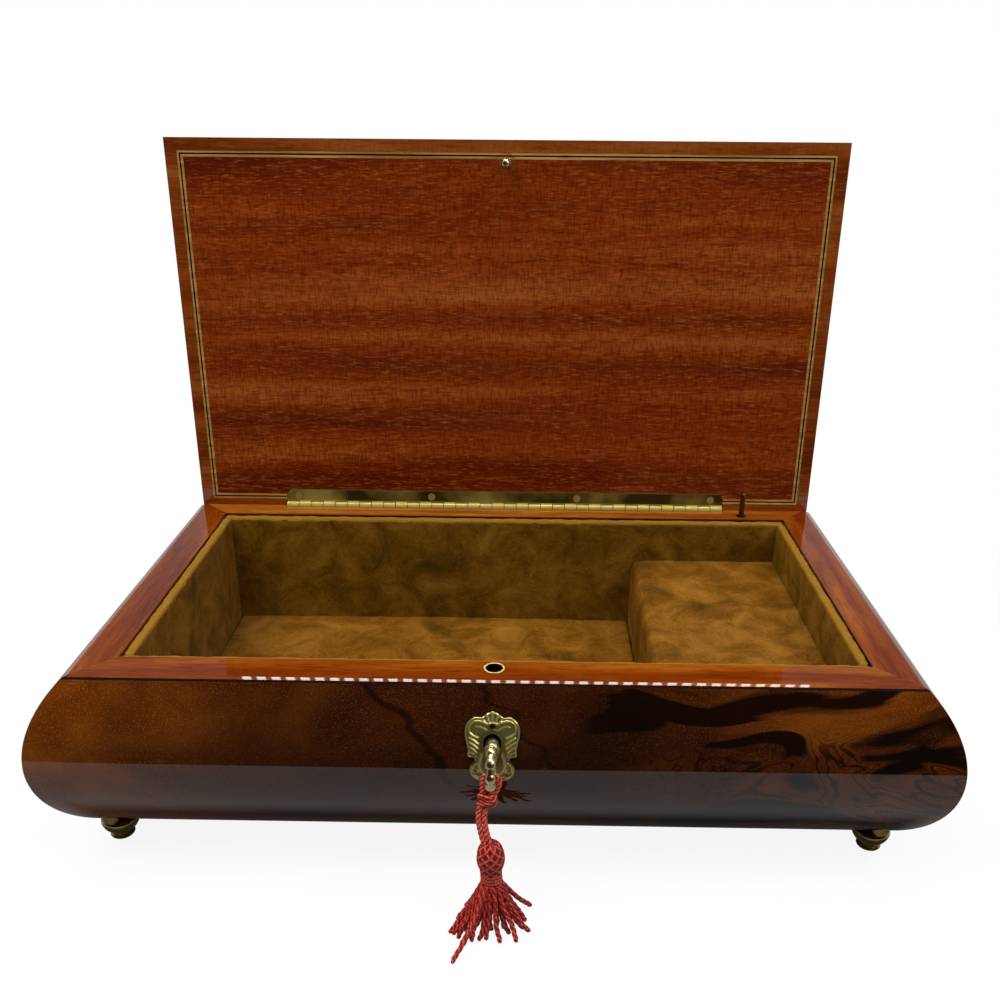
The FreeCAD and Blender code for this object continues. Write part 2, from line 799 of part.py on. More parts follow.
def key():
    """Key with collars on its shank and a ringed bow that stands upright."""
    tip_start = cam_front - 0.3
    neck_y = bow_y + bow_radius
    shank = rod(0, neck_y - 1, key_height, key_shank_radius, tip_start - neck_y + 1, V(0, 1, 0))
    tip = rod(0, tip_start, key_height, key_tip_radius, cam_thickness + 0.2, V(0, 1, 0))
    ring = Part.makeTorus(bow_radius, bow_wire_radius, V(0, bow_y, key_height), V(1, 0, 0))
    collars = [Part.makeSphere(key_collar_radius, V(0, neck_y + shift, key_height))
               for shift in (1.6, 1.6 + 1.3 * key_collar_radius)]
    beads = [Part.makeSphere(bow_bead_radius, V(0, bow_y + bow_radius * math.cos(math.radians(turn)),
                                                key_height + bow_radius * math.sin(math.radians(turn))))
             for turn in (55, 125, 180, 235, 305)]
    return joined([shank, tip, ring] + collars + beads)


def escutcheon_outline():
    """Face of the plate seen from the front: crest, shoulders, notches and scrolled foot."""
    low = key_height - escutcheon_foot
    tall = escutcheon_top + escutcheon_foot
    half = (
        ((0.00, 1.000), (0.17, 0.979), (0.30, 0.934)),
        ((0.30, 0.934), (0.42, 0.905), (0.52, 0.876)),
        ((0.52, 0.876), (0.95, 0.835), (0.93, 0.645)),
        ((0.93, 0.645), (0.80, 0.504), (0.88, 0.372)),
        ((0.88, 0.372), (0.76, 0.364), (0.66, 0.380)),
        ((0.66, 0.380), (0.64, 0.314), (0.78, 0.273)),
        ((0.78, 0.273), (0.82, 0.132), (0.52, 0.041)),
        ((0.52, 0.041), (0.24, 0.029), (0.00, 0.000)),
    )
    right = []
    left = []
    for arc in half:
        points = [(across * escutcheon_half_width, low + up * tall) for across, up in arc]
        right.append(Part.Arc(*[V(x, 0, z) for x, z in points]).toShape())
        left.append(Part.Arc(*[V(-x, 0, z) for x, z in points]).toShape())
    return Part.Face(Part.Wire(right + left[::-1]))


def escutcheon():
    """Cast plate bent to the front's curve, with its keyhole."""
    depth = 3 * bulge
    plate = escutcheon_outline().extrude(V(0, -depth, 0)).translated(V(0, -half_width, 0))
    centre = side_point("front", bulge_centre_out, bulge_centre_height)
    start = centre - V(half_length, 0, 0)
    inner = bulge_radius + escutcheon_seat
    shell = Part.makeCylinder(inner + escutcheon_thickness, rim_length, start, V(1, 0, 0))
    shell = shell.cut(Part.makeCylinder(inner, rim_length, start, V(1, 0, 0)))
    round_hole = rod(0, -half_width - depth, key_height, keyhole_radius, depth, V(0, 1, 0))
    slot = block(-keyhole_slot_width / 2, keyhole_slot_width / 2, -half_width - depth, -half_width,
                 key_height - keyhole_slot_drop, key_height)
    return plate.common(shell).cut(joined([round_hole, slot]))


def escutcheon_pins(grow=0.0):
    """Pins square to the curve, one above and one below the keyhole."""
    pins = []
    centre = side_point("front", bulge_centre_out, bulge_centre_height)
    for height in (key_height + escutcheon_top - escutcheon_pin_inset,
                   key_height - escutcheon_foot + escutcheon_pin_inset):
        lift = math.asin((height - bulge_centre_height) / bulge_radius)
        outward = V(0, -math.cos(lift), math.sin(lift))
        seat = bulge_radius + escutcheon_seat + escutcheon_thickness
        face = centre + outward * seat
        reach = escutcheon_pin_length + grow
        shank = Part.makeCylinder(escutcheon_pin_radius + grow, reach, face, outward * -1)
        if grow:
            pins.append(shank)
        else:
            head = Part.makeCylinder(1.5 * escutcheon_pin_radius, 0.4, face, outward)
            pins.append(joined([shank, head]))
    return pins


# Cord and tassel

def cord_route():
    """Points of the doubled cord: up from the tassel, round the bow's wire and down again."""
    loop = bow_wire_radius + cord_wire_gap + cord_diameter / 2
    room = bow_low - tassel_top_height
    sway = ((-0.2, 1.0, -0.03), (-0.8, 0.64, 0.377), (-0.4, 0.24, 0.678))
    left = []
    right = []
    for across, out, up in sway:
        x = across * tassel_head_radius
        y = bow_y - out * tassel_forward
        z = tassel_top_height + up * room
        left.append(V(x - strand_spacing / 2, y, z))
        right.append(V(x + strand_spacing / 2, y, z))
    left += [V(-loop, bow_y, bow_low - cord_loop_drop), V(-loop, bow_y, bow_low + loop)]
    right += [V(loop, bow_y, bow_low - cord_loop_drop), V(loop, bow_y, bow_low + loop)]
    return left + right[::-1]


def cord_tube(points, diameter, hook_radius):
    """Tube of straight runs and tangent arcs; the two quarter turns take the hook's radius."""
    pieces = []
    start = points[0]
    for before, corner, after in zip(points, points[1:], points[2:]):
        back = (before - corner).normalize()
        ahead = (after - corner).normalize()
        half_turn = (math.pi - back.getAngle(ahead)) / 2
        shorter = min((before - corner).Length, (after - corner).Length)
        radius = 0.45 * shorter / math.tan(half_turn)
        if half_turn > math.radians(40):
            radius = hook_radius
        setback = radius * math.tan(half_turn)
        first = corner + back * setback
        last = corner + ahead * setback
        bisector = (back + ahead).normalize()
        middle = corner + bisector * (radius / math.cos(half_turn) - radius)
        print("cord arc radius", round(radius, 2))
        pieces.append(Part.LineSegment(start, first).toShape())
        pieces.append(Part.Arc(first, middle, last).toShape())
        start = last
    pieces.append(Part.LineSegment(start, points[-1]).toShape())
    length = sum(piece.Length for piece in pieces)
    path = Part.Wire(pieces)
    section = Part.Wire(Part.Circle(points[0], (points[1] - points[0]).normalize(), diameter / 2).toShape())
    tube = path.makePipeShell([section], True, False)
    expected = math.pi * diameter ** 2 / 4 * length
    print("cord length", round(length, 2))
    print("cord volume over section times length", round(tube.Volume / expected, 4))
    return tube


def tassel_head():
    """Round head of the tassel, drawn in to the wrap below it."""
    shoulder = tassel_top_height - tassel_head_radius
    chin = tassel_wrap_height + 0.3 * (shoulder - tassel_wrap_height)
    dome = Part.makeSphere(tassel_head_radius, V(0, 0, shoulder), V(0, 0, 1), 0, 90)
    profile = ((0, shoulder), (tassel_head_radius, shoulder), (tassel_head_radius, chin),
               (tassel_neck_radius, tassel_wrap_height), (tassel_neck_radius, tassel_skirt_height),
               (0, tassel_skirt_height))
    return joined([turned(profile, V(0, 0, 0)), dome]).translated(V(0, tassel_y, 0))


def tassel_skirt():
    """Spread of the tassel's strands from the neck to the table, as one pleated skirt."""
    sections = []
    for share in (0.0, 0.35, 0.7, 1.0):
        spread = share ** 1.6
        half_across = tassel_neck_radius + (skirt_half_width - tassel_neck_radius) * spread
        half_along = tassel_neck_radius + (skirt_half_depth - tassel_neck_radius) * spread
        middle = V(0, tassel_y - skirt_lean * spread, tassel_skirt_height * (1 - share))
        points = []
        for n in range(2 * skirt_pleats):
            angle = math.pi * n / skirt_pleats
            reach = 1.0 if n % 2 == 0 else 1.0 - skirt_pleat_depth * share
            points.append(middle + V(half_across * math.cos(angle), half_along * math.sin(angle), 0) * reach)
        sections.append(Part.makePolygon(points + [points[0]]))
    return Part.makeLoft(sections, True, True)


# Stop rod and lever

def stop_rod():
    """Rod that the lid presses, with a domed top and bottom."""
    top = rim_height + rod_rise - rod_radius
    low = rod_low + rod_radius
    shaft = rod(rod_x, rod_y, low, rod_radius, top - low)
    return joined([shaft, Part.makeSphere(rod_radius, V(rod_x, rod_y, top)),
                   Part.makeSphere(rod_radius, V(rod_x, rod_y, low))])


def rod_bush(grow=0.0):
    """Bush in the rear rim that guides the rod."""
    outer = rod(rod_x, rod_y, rim_height - rod_bush_length - grow, rod_bush_radius + grow,
                rod_bush_length + rod_bush_lip + grow)
    if grow:
        return outer
    return outer.cut(rod(rod_x, rod_y, 0, rod_radius + running_fit, 2 * rim_height))


def rod_ways():
    """Shaft in the rear wall for the rod and the slot for the lever's end."""
    shaft = rod(rod_x, rod_y, lever_z, rod_radius + rod_clearance, rim_height - lever_z)
    half = lever_width / 2 + 1.6
    slot = block(rod_x - half, rod_x + half, inner_half_width - 1, rod_y + 3.0,
                 lever_z - rod_rise / 2 - 3.0, lever_z + rod_rise / 2 + 3.5)
    return joined([shaft, slot, rod_bush(running_fit)])


def stop_lever():
    """Rocking lever under the rod; its tail, weighted to balance it, rises into the fan's path."""
    half = lever_thickness / 2
    rear = lever_arm + lever_end
    bar = block(rod_x - lever_width / 2, rod_x + lever_width / 2, lever_y - lever_tail, lever_y + rear,
                lever_z - half, lever_z + half)
    missing = lever_width * lever_thickness * (rear ** 2 - lever_tail ** 2) / 2
    section = lever_weight_width * lever_weight_height - lever_width * lever_thickness
    weight_start = math.sqrt(lever_tail ** 2 - 2 * missing / section)
    half_height = lever_weight_height / 2
    weight = block(rod_x - lever_weight_width / 2, rod_x + lever_weight_width / 2, lever_y - lever_tail,
                   lever_y - weight_start, lever_z - half_height, lever_z + half_height)
    trunnion_reach = lever_width / 2 + 2.2
    trunnion = rod(rod_x - trunnion_reach, lever_y, lever_z, lever_pivot_radius,
                   2 * trunnion_reach, V(1, 0, 0))
    boss = rod(rod_x - lever_width / 2, lever_y, lever_z, 1.8, lever_width, V(1, 0, 0))
    lever = joined([bar, weight, boss, trunnion])
    return lever.rotated(V(rod_x, lever_y, lever_z), V(1, 0, 0), lever_half_angle)


# Movement

def toothed(teeth, module, add=0.875, ded=1.1, tip=0.27, root=0.56):
    """Outline of a spur wheel with straight-flanked teeth, as (x, y) pairs; a tooth lies on +x."""
    pitch_radius = teeth * module / 2
    outline = []
    for n in range(teeth):
        middle = 2 * math.pi * n / teeth
        tip_half = tip * math.pi * module / 2 / (pitch_radius + add * module)
        root_half = root * math.pi * module / 2 / (pitch_radius - ded * module)
        outline.append((pitch_radius - ded * module, middle - root_half))
        outline.append((pitch_radius + add * module, middle - tip_half))
        outline.append((pitch_radius + add * module, middle + tip_half))
        outline.append((pitch_radius - ded * module, middle + root_half))
    return [(r * math.cos(a), r * math.sin(a)) for r, a in outline]


def wheel_across(teeth, module, x, z, y0, y1, turn=0.0):
    """Spur wheel on an axis along Y, turned about it; its first tooth points along +X."""
    points = [V(x + px, y0, z + pz) for px, pz in toothed(teeth, module)]
    wheel = prism(points, V(0, y1 - y0, 0))
    return wheel.rotated(V(x, y0, z), V(0, 1, 0), turn)


def post_places():
    """Middles of the bedplate's posts."""
    inset = bedplate_post_radius + 0.5
    reach = bedplate_half_width - inset
    rows = (bedplate_front + inset, bedplate_back - inset)
    return [(movement_x + way * reach, y) for way in (-1, 1) for y in rows]


def bedplate():
    """Cast bedplate with posts, comb ledge, bearing lugs and the lever's cheeks."""
    x0 = movement_x - bedplate_half_width
    x1 = movement_x + bedplate_half_width
    plate = block(x0, x1, bedplate_front, bedplate_back, bedplate_low, bedplate_top)
    posts = [rod(x, y, base_top, bedplate_post_radius, bedplate_post + 1) for x, y in post_places()]
    ledge = block(movement_x - comb_end, movement_x - comb_root - 0.5, cylinder_front, cylinder_back,
                  bedplate_top - 1, cylinder_z - comb_thickness / 2)
    front_lug = block(movement_x - lug_half_width, movement_x + lug_half_width, front_lug_y,
                      front_lug_y + lug_thickness, bedplate_top - 1, cylinder_z + 4)
    rear_lug = block(movement_x - lug_half_width, governor_x + 2.4, rear_lug_y, rear_lug_y + lug_thickness,
                     bedplate_top - 1, cylinder_z + 3)
    inner = lever_width / 2 + lever_cheek_gap
    outer = inner + lever_cheek_thickness
    cheeks = [block(rod_x + a, rod_x + b, lever_y - 2.6, lever_y + 2.6, bedplate_top - 1, lever_z + 2.6)
              for a, b in ((-outer, -inner), (inner, outer))]
    click_stud = rod(click_place()[0], click_place()[1], base_top + 0.3, click_pivot_radius, bedplate_post)
    casting = joined([plate, ledge, front_lug, rear_lug, click_stud] + posts + cheeks)
    holes = [rod(movement_x, front_lug_y - 1, cylinder_z, cylinder_arbor_radius + running_fit,
                 lug_thickness + 2, V(0, 1, 0)),
             rod(movement_x, rear_lug_y - 1, cylinder_z, cylinder_arbor_radius + running_fit,
                 lug_thickness + 2, V(0, 1, 0)),
             rod(governor_x, rear_lug_y - 1, cylinder_z, fine_arbor_radius + running_fit,
                 lug_thickness + 2, V(0, 1, 0)),
             rod(rod_x - 2 * outer, lever_y, lever_z, lever_pivot_radius + running_fit,
                 4 * outer, V(1, 0, 0)),
             rod(movement_x, barrel_y, bedplate_low - 1, arbor_radius + running_fit, bedplate_thickness + 2)]
    return cut_all(casting, holes + movement_screws(running_fit) + comb_screws(running_fit))


def movement_screws(grow=0.0):
    """Screws up through the base panel into the bedplate's posts."""
    length = base_thickness + bedplate_post + bedplate_thickness - 1.0
    profile = screw_profile(movement_screw_head_radius, movement_screw_radius, length, grow)
    return [turned(profile, V(x, y, base_low), V(0, 0, -1)) for x, y in post_places()]


def cylinder():
    """Pinned cylinder on its arbor, with the wheel that drives the governor."""
    barrel = rod(movement_x, cylinder_front, cylinder_z, cylinder_radius, cylinder_length, V(0, 1, 0))
    arbor_back = rear_lug_y + lug_thickness
    arbor = rod(movement_x, drive_front, cylinder_z, cylinder_arbor_radius,
                arbor_back - drive_front, V(0, 1, 0))
    great = wheel_across(great_teeth, great_module, movement_x, cylinder_z, great_front, great_back,
                         180.0 / great_teeth)
    pins = []
    pitch = cylinder_length / (comb_teeth + 1)
    for tooth in range(comb_teeth):
        for hit in range(pins_per_tooth):
            turn = 137.5 * tooth + 360.0 * hit / pins_per_tooth + 50.0 * math.sin(1.7 * tooth)
            y = cylinder_front + pitch * (tooth + 1)
            pin = block(movement_x - pin_size / 2, movement_x + pin_size / 2,
                        y - pin_size / 2, y + pin_size / 2,
                        cylinder_z + cylinder_radius - 0.5, cylinder_z + cylinder_radius + pin_height)
            pins.append(pin.rotated(V(movement_x, 0, cylinder_z), V(0, 1, 0), turn))
    return joined([barrel, arbor, great] + pins)


def drive_wheel():
    """Wheel on the cylinder's arbor, in the barrel's crown teeth."""
    wheel = wheel_across(drive_teeth, drive_module, movement_x, cylinder_z, drive_front, drive_back, 90.0)
    bore = rod(movement_x, drive_front - 1, cylinder_z, cylinder_arbor_radius,
               drive_wheel_width + 2, V(0, 1, 0))
    return wheel.cut(bore)


def comb():
    """Tuned comb with its teeth towards the cylinder."""
    pitch = cylinder_length / (comb_teeth + 1)
    half = (pitch - comb_tooth_gap) / 2
    back_y0 = cylinder_front + 0.3
    back_y1 = cylinder_back - 0.3
    outline = [(-comb_root - 1.0, back_y0)]
    for tooth in range(comb_teeth):
        y = cylinder_front + pitch * (tooth + 1)
        outline += [(-comb_root, y - half), (-comb_tip, y - half),
                    (-comb_tip, y + half), (-comb_root, y + half)]
    outline.append((-comb_root - 1.0, back_y1))
    low = cylinder_z - comb_tooth_thickness / 2
    teeth = prism([V(movement_x + x, y, low) for x, y in outline], V(0, 0, comb_tooth_thickness))
    back = block(movement_x - comb_end, movement_x - comb_root, back_y0, back_y1,
                 cylinder_z - comb_thickness / 2, cylinder_z + comb_thickness / 2)
    return cut_all(joined([back, teeth]), comb_screws(running_fit))


def comb_screws(grow=0.0):
    """Cheese-headed screws through the comb into its ledge."""
    screws = []
    face = cylinder_z + comb_thickness / 2
    x = movement_x - comb_end + comb_back / 2
    for share in (0.12, 0.37, 0.63, 0.88):
        y = cylinder_front + share * cylinder_length
        shank = rod(x, y, face - comb_screw_length - grow, comb_screw_radius + grow, comb_screw_length + grow)
        if grow:
            screws.append(shank)
        else:
            head = rod(x, y, face, comb_screw_head_radius, comb_screw_head_height)
            screws.append(joined([shank, head]))
    return screws


def spring_barrel():
    """Barrel of the mainspring, with crown teeth on its flange."""
    x = movement_x
    flange = rod(x, barrel_y, flange_low, crown_outer_radius, barrel_flange_thickness)
    body = rod(x, barrel_y, flange_low, barrel_radius, barrel_height)
    step = 2 * math.pi / crown_teeth
    low_half = 0.22 * step
    top_half = 0.12 * step
    teeth = []
    for n in range(crown_teeth):
        middle = math.pi / 2 + (n + 0.5) * step
        rings = []
        for height, half in ((flange_top - 0.5, low_half), (flange_top + crown_tooth_height - 0.2, top_half)):
            corners = ((crown_inner_radius, -half), (crown_outer_radius, -half),
                       (crown_outer_radius, half), (crown_inner_radius, half))
            points = [V(x + r * math.cos(middle + a), barrel_y + r * math.sin(middle + a), height)
                      for r, a in corners]
            rings.append(Part.makePolygon(points + [points[0]]))
        teeth.append(Part.makeLoft(rings, True, True))
    cavity = rod(x, barrel_y, flange_top, barrel_radius - barrel_wall,
                 barrel_height - barrel_flange_thickness - barrel_wall)
    bore = rod(x, barrel_y, flange_low - 1, arbor_radius + running_fit, barrel_height + 2)
    return cut_all(joined([flange, body] + teeth), [cavity, bore])


def mainspring():
    """Coiled strip of spring steel inside the barrel, of half circles that grow each half turn."""
    inner = arbor_radius + 1.2
    outer = barrel_radius - barrel_wall - 0.4 - mainspring_thickness
    low = flange_top + 0.3
    height = barrel_height - barrel_flange_thickness - barrel_wall - 0.6
    halves = 2 * mainspring_turns
    step = (outer - inner) / (halves - 1)
    tracks = []
    for extra in (0.0, mainspring_thickness):
        edges = []
        centre = 0.0
        radius = inner + extra
        x = radius
        for n in range(halves):
            way = 1 if n % 2 == 0 else -1
            start = V(movement_x + x, barrel_y, low)
            end_x = x - 2 * way * radius
            middle = V(movement_x + (x + end_x) / 2, barrel_y + way * radius, low)
            edges.append(Part.Arc(start, middle, V(movement_x + end_x, barrel_y, low)).toShape())
            x = end_x
            radius += step / 2
        tracks.append((edges, V(movement_x + inner + extra, barrel_y, low), V(movement_x + x, barrel_y, low)))
    (inside, first_in, last_in), (outside, first_out, last_out) = tracks
    caps = [Part.LineSegment(last_in, last_out).toShape(), Part.LineSegment(first_out, first_in).toShape()]
    outline = Part.Wire(Part.__sortEdges__(inside + outside + caps))
    return Part.Face(outline).extrude(V(0, 0, height))


def winding_arbor():
    """Arbor through the barrel, with the ratchet wheel under the bedplate."""
    ratchet_low = base_top + ratchet_lift
    points = []
    for n in range(ratchet_teeth):
        turn = 2 * math.pi * n / ratchet_teeth
        for radius in (ratchet_radius - ratchet_depth, ratchet_radius):
            points.append(V(movement_x + radius * math.cos(turn), barrel_y + radius * math.sin(turn),
                            ratchet_low))
    ratchet = prism(points, V(0, 0, ratchet_thickness))
    low = base_low - winding_boss_length
    shaft = rod(movement_x, barrel_y, low, arbor_radius, flange_low + barrel_height + 1.0 - low)
    return joined([shaft, ratchet])


def click_place():
    """Middle of the click's pivot."""
    return movement_x + 1.45 * ratchet_radius, barrel_y - 1.3 * ratchet_radius


def click():
    """Pawl that lets the arbor turn one way, standing on the crest of a tooth."""
    x, y = click_place()
    low = base_top + ratchet_lift
    tip = V(movement_x + ratchet_radius + running_fit, barrel_y - 0.6, low)
    along = (V(x, y, low) - tip).normalize()
    across = V(-along.y, along.x, 0)
    root = 1.9
    points = [tip, tip + along * 2.0 + across * -0.3, V(x, y, low) + across * -root,
              V(x, y, low) + across * root, tip + along * 0.5 + across * 0.35]
    body = joined([prism(points, V(0, 0, ratchet_thickness)), rod(x, y, low, root, ratchet_thickness)])
    return body.cut(rod(x, y, low - 1, click_pivot_radius + running_fit, ratchet_thickness + 2))


def winding_key():
    """Butterfly key on the arbor's lower end."""
    boss_low = base_low - 0.5 - winding_boss_length
    boss = rod(movement_x, barrel_y, boss_low, winding_boss_radius, winding_boss_length)
    half = winding_wing_span / 2
    low = winding_table_gap
    high = low + winding_wing_height
    y = barrel_y - winding_wing_thickness / 2
    wing = block(movement_x - half, movement_x + half, y, y + winding_wing_thickness, low, high)
    corner = edges_where(wing, lambda c, e: abs(abs(c.x - movement_x) - half) < 0.01
                         and min(abs(c.z - low), abs(c.z - high)) < 0.01)
    wing = wing.makeFillet(0.4 * winding_wing_height, corner)
    socket = rod(movement_x, barrel_y, base_low - winding_boss_length, arbor_radius, rim_height)
    return joined([boss, wing]).cut(socket)


def governor_frame():
    """Frame behind the cylinder that carries the governor's arbors."""
    x0 = governor_x - 4.0
    x1 = worm_x + 3.0
    plate = block(x0, x1, frame_y, frame_y + frame_plate, bedplate_top, frame_top)
    arms = [block(worm_x - 3.0, x1, worm_y - 2.0, frame_y + 0.5, low, low + frame_arm)
            for low in (frame_low_arm - frame_arm, frame_top - frame_arm)]
    holes = [rod(governor_x, frame_y - 1, cylinder_z, fine_arbor_radius + running_fit,
                 frame_plate + 2, V(0, 1, 0)),
             rod(worm_x, worm_y, bedplate_top, fine_arbor_radius + running_fit, frame_top)]
    return cut_all(joined([plate] + arms), holes)


def governor_wheel():
    """Arbor with the pinion in the cylinder's wheel and the wheel that turns the worm."""
    start = great_front - 0.5
    arbor = rod(governor_x, start, cylinder_z, fine_arbor_radius,
                frame_y + frame_plate - 0.2 - start, V(0, 1, 0))
    pinion = wheel_across(pinion_teeth, great_module, governor_x, cylinder_z, great_front, great_back, 0.0)
    wheel = wheel_across(worm_wheel_teeth, worm_module, governor_x, cylinder_z, worm_wheel_front,
                         worm_wheel_front + worm_wheel_width, 0.0)
    return joined([arbor, pinion, wheel])


def fan():
    """Governor fan with its worm: a round-threaded screw lofted through turned many-sided sections."""
    lead = math.pi * worm_module
    depth = 0.5 * worm_module
    low = cylinder_z - worm_length / 2
    steps = 8 * int(round(worm_length / lead))
    sections = []
    for n in range(steps + 1):
        z = low + worm_length * n / steps
        turn = 2 * math.pi * (z - cylinder_z) / lead
        centre = V(worm_x + depth * math.cos(turn), worm_y + depth * math.sin(turn), z)
        corners = [2 * math.pi * side / worm_sides for side in range(worm_sides)]
        points = [centre + V(math.cos(a), math.sin(a), 0) * (worm_pitch_radius - depth) for a in corners]
        sections.append(Part.makePolygon(points + [points[0]]))
    worm = Part.makeLoft(sections, True, True)
    arbor_low = frame_low_arm - frame_arm + 0.2
    arbor = rod(worm_x, worm_y, arbor_low, fine_arbor_radius, fan_top - arbor_low)
    hub = rod(worm_x, worm_y, fan_low, fan_hub_radius, fan_blade_height)
    blade = block(worm_x - fan_reach, worm_x + fan_reach, worm_y - fan_blade_thickness / 2,
                  worm_y + fan_blade_thickness / 2, fan_low, fan_top)
    return joined([arbor, worm, hub, blade])


# Walls and rim, with all that is let into them

def save_carcase():
    """Write the walls, the rim, the base and the feet."""
    foot_holes = [foot_screw(place, running_fit) for place in FOOT_PLACES.values()]
    for side in SIDES:
        body = cut_all(wall(side), foot_holes)
        strip = rim(side)
        if side != "front":
            body = body.cut(lid_relief())
            strip = strip.cut(lid_relief())
        if side == "front":
            cuts = [lock_pocket(), ferrule(running_fit)] + escutcheon_pins(running_fit)
            body = cut_all(body, cuts)
            strip = strip.cut(ferrule(running_fit))
        if side == "rear":
            cuts = [rod_ways(), knuckle_room(), lower_leaf_plate()]
            body = cut_all(body, cuts)
            strip = cut_all(strip, cuts)
        save(side + "_wall", body)
        save("rim_" + side, strip)
    arbor_way = rod(movement_x, barrel_y, 0, arbor_radius + 0.5, rim_height)
    save("base_panel", cut_all(base_panel(), [arbor_way] + movement_screws(running_fit)))
    for name, place in FOOT_PLACES.items():
        save(name, foot(place))
    save("foot_screws", Part.makeCompound([foot_screw(place) for place in FOOT_PLACES.values()]))


def save_lining():
    """Write the pads and the bay's boards."""
    save("front_lining", long_lining(-1))
    save("rear_lining", long_lining(1))
    save("left_lining", side_lining(-1))
    save("right_lining", side_lining(1))
    save("floor_lining", floor_lining())
    save("bay_lining", bay_lining())
    save("bay_partition", bay_partition())
    save("bay_top_board", bay_board_top())


def save_lid():
    """Write the lid's pieces, open, and the hinge."""
    first = border_width + outer_line_width
    second = first + dark_line_width
    third = second + inner_line_width
    save("lid_panel", swung(lid_panel()))
    save("lid_border", swung(veneer_strips(0, border_width)))
    pale = veneer_strips(border_width, first).Solids + veneer_strips(second, third).Solids
    save("lid_pale_lines", swung(Part.makeCompound(pale)))
    save("lid_dark_line", swung(veneer_strips(first, second)))
    save("lid_field", swung(lid_field()))
    save("strike_pin", swung(strike_pin()))
    upper_leaf = hinge_leaf(upper_leaf_plate(), 1)
    save("hinge_upper_leaf", swung(cut_all(upper_leaf, hinge_screws(running_fit))))
    save("hinge_screws", swung(Part.makeCompound(hinge_screws())))
    save("hinge_lower_leaf", hinge_leaf(lower_leaf_plate(), 0))
    save("hinge_pin", hinge_pin())


def save_lock():
    """Write the lock, the key, the escutcheon and the tassel."""
    save("latch_ferrule", ferrule())
    save("lock_case", lock_case())
    save("lock_bolt", lock_bolt())
    save("lock_cam", lock_cam())
    save("key", key())
    save("escutcheon", cut_all(escutcheon(), escutcheon_pins(running_fit)))
    save("escutcheon_pins", Part.makeCompound(escutcheon_pins()))
    hook = bow_wire_radius + cord_wire_gap + cord_diameter / 2 - 0.05
    save("tassel_cord", cord_tube(cord_route(), cord_diameter, hook))
    save("tassel_head", tassel_head())
    save("tassel_skirt", tassel_skirt())


def save_movement():
    """Write the musical movement and its stop."""
    save("movement_bedplate", bedplate())
    save("movement_screws", Part.makeCompound(movement_screws()))
    save("music_cylinder", cylinder())
    save("drive_wheel", drive_wheel())
    save("music_comb", comb())
    save("comb_screws", Part.makeCompound(comb_screws()))
    save("spring_barrel", spring_barrel())
    save("mainspring", mainspring())
    save("winding_arbor", winding_arbor())
    save("winding_click", click())
    save("winding_key", winding_key())
    save("governor_frame", governor_frame())
    save("governor_wheel", governor_wheel())
    save("governor_fan", fan())
    save("stop_rod", stop_rod())
    save("rod_bush", rod_bush())
    save("stop_lever", stop_lever())


save_carcase()
save_lining()
save_lid()
save_lock()
save_movement()
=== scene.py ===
"""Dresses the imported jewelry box: its woods, plush, brass, cord and tassel, in a pale studio."""
import json
import logging
import math
from dataclasses import dataclass, replace
from enum import Enum
from functools import cache
from typing import Any

import bpy
import numpy as np
from mathutils import Matrix, Vector

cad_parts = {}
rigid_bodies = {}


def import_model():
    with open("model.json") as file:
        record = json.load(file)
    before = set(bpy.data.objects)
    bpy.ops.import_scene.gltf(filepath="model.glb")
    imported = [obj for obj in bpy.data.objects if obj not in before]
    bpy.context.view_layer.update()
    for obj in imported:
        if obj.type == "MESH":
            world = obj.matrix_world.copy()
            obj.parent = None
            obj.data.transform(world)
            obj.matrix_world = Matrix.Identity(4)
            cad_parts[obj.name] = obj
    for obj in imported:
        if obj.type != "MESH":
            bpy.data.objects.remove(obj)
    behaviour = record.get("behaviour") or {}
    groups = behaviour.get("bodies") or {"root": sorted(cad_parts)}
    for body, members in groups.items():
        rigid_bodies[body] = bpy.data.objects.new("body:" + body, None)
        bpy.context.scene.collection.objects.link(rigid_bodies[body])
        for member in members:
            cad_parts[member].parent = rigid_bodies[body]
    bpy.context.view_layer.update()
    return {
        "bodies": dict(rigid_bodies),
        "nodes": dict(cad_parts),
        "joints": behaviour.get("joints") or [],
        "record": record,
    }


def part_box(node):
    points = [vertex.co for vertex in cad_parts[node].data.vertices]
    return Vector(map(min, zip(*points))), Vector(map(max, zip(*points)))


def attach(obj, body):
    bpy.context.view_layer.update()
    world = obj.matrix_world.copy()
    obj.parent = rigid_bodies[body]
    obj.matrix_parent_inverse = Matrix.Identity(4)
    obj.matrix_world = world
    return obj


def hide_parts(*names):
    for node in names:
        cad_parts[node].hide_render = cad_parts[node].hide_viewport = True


LOG = logging.getLogger("jewelry_box")
MM = 0.001
SIDES = ("front", "rear", "left", "right")
Socket = bpy.types.NodeSocket
Material = bpy.types.Material
Triple = tuple[float, float, float]
Ramp = tuple[tuple[float, str], ...]


# Colours and nodes

def linear(code: str) -> tuple[float, float, float, float]:
    """Turns an sRGB hex colour to linear light.

    Args:
        code: Six hex digits, such as "8a3c10".

    Returns:
        Red, green, blue and an alpha of one.
    """
    parts = np.array([int(code[n:n + 2], 16) for n in (0, 2, 4)]) / 255.0
    low = parts / 12.92
    high = ((parts + 0.055) / 1.055) ** 2.4
    red, green, blue = np.where(parts <= 0.04045, low, high)
    return float(red), float(green), float(blue), 1.0


def per(size: float) -> float:
    """Returns the scale that gives a noise its size in millimetres."""
    return 1.0 / (size * MM)


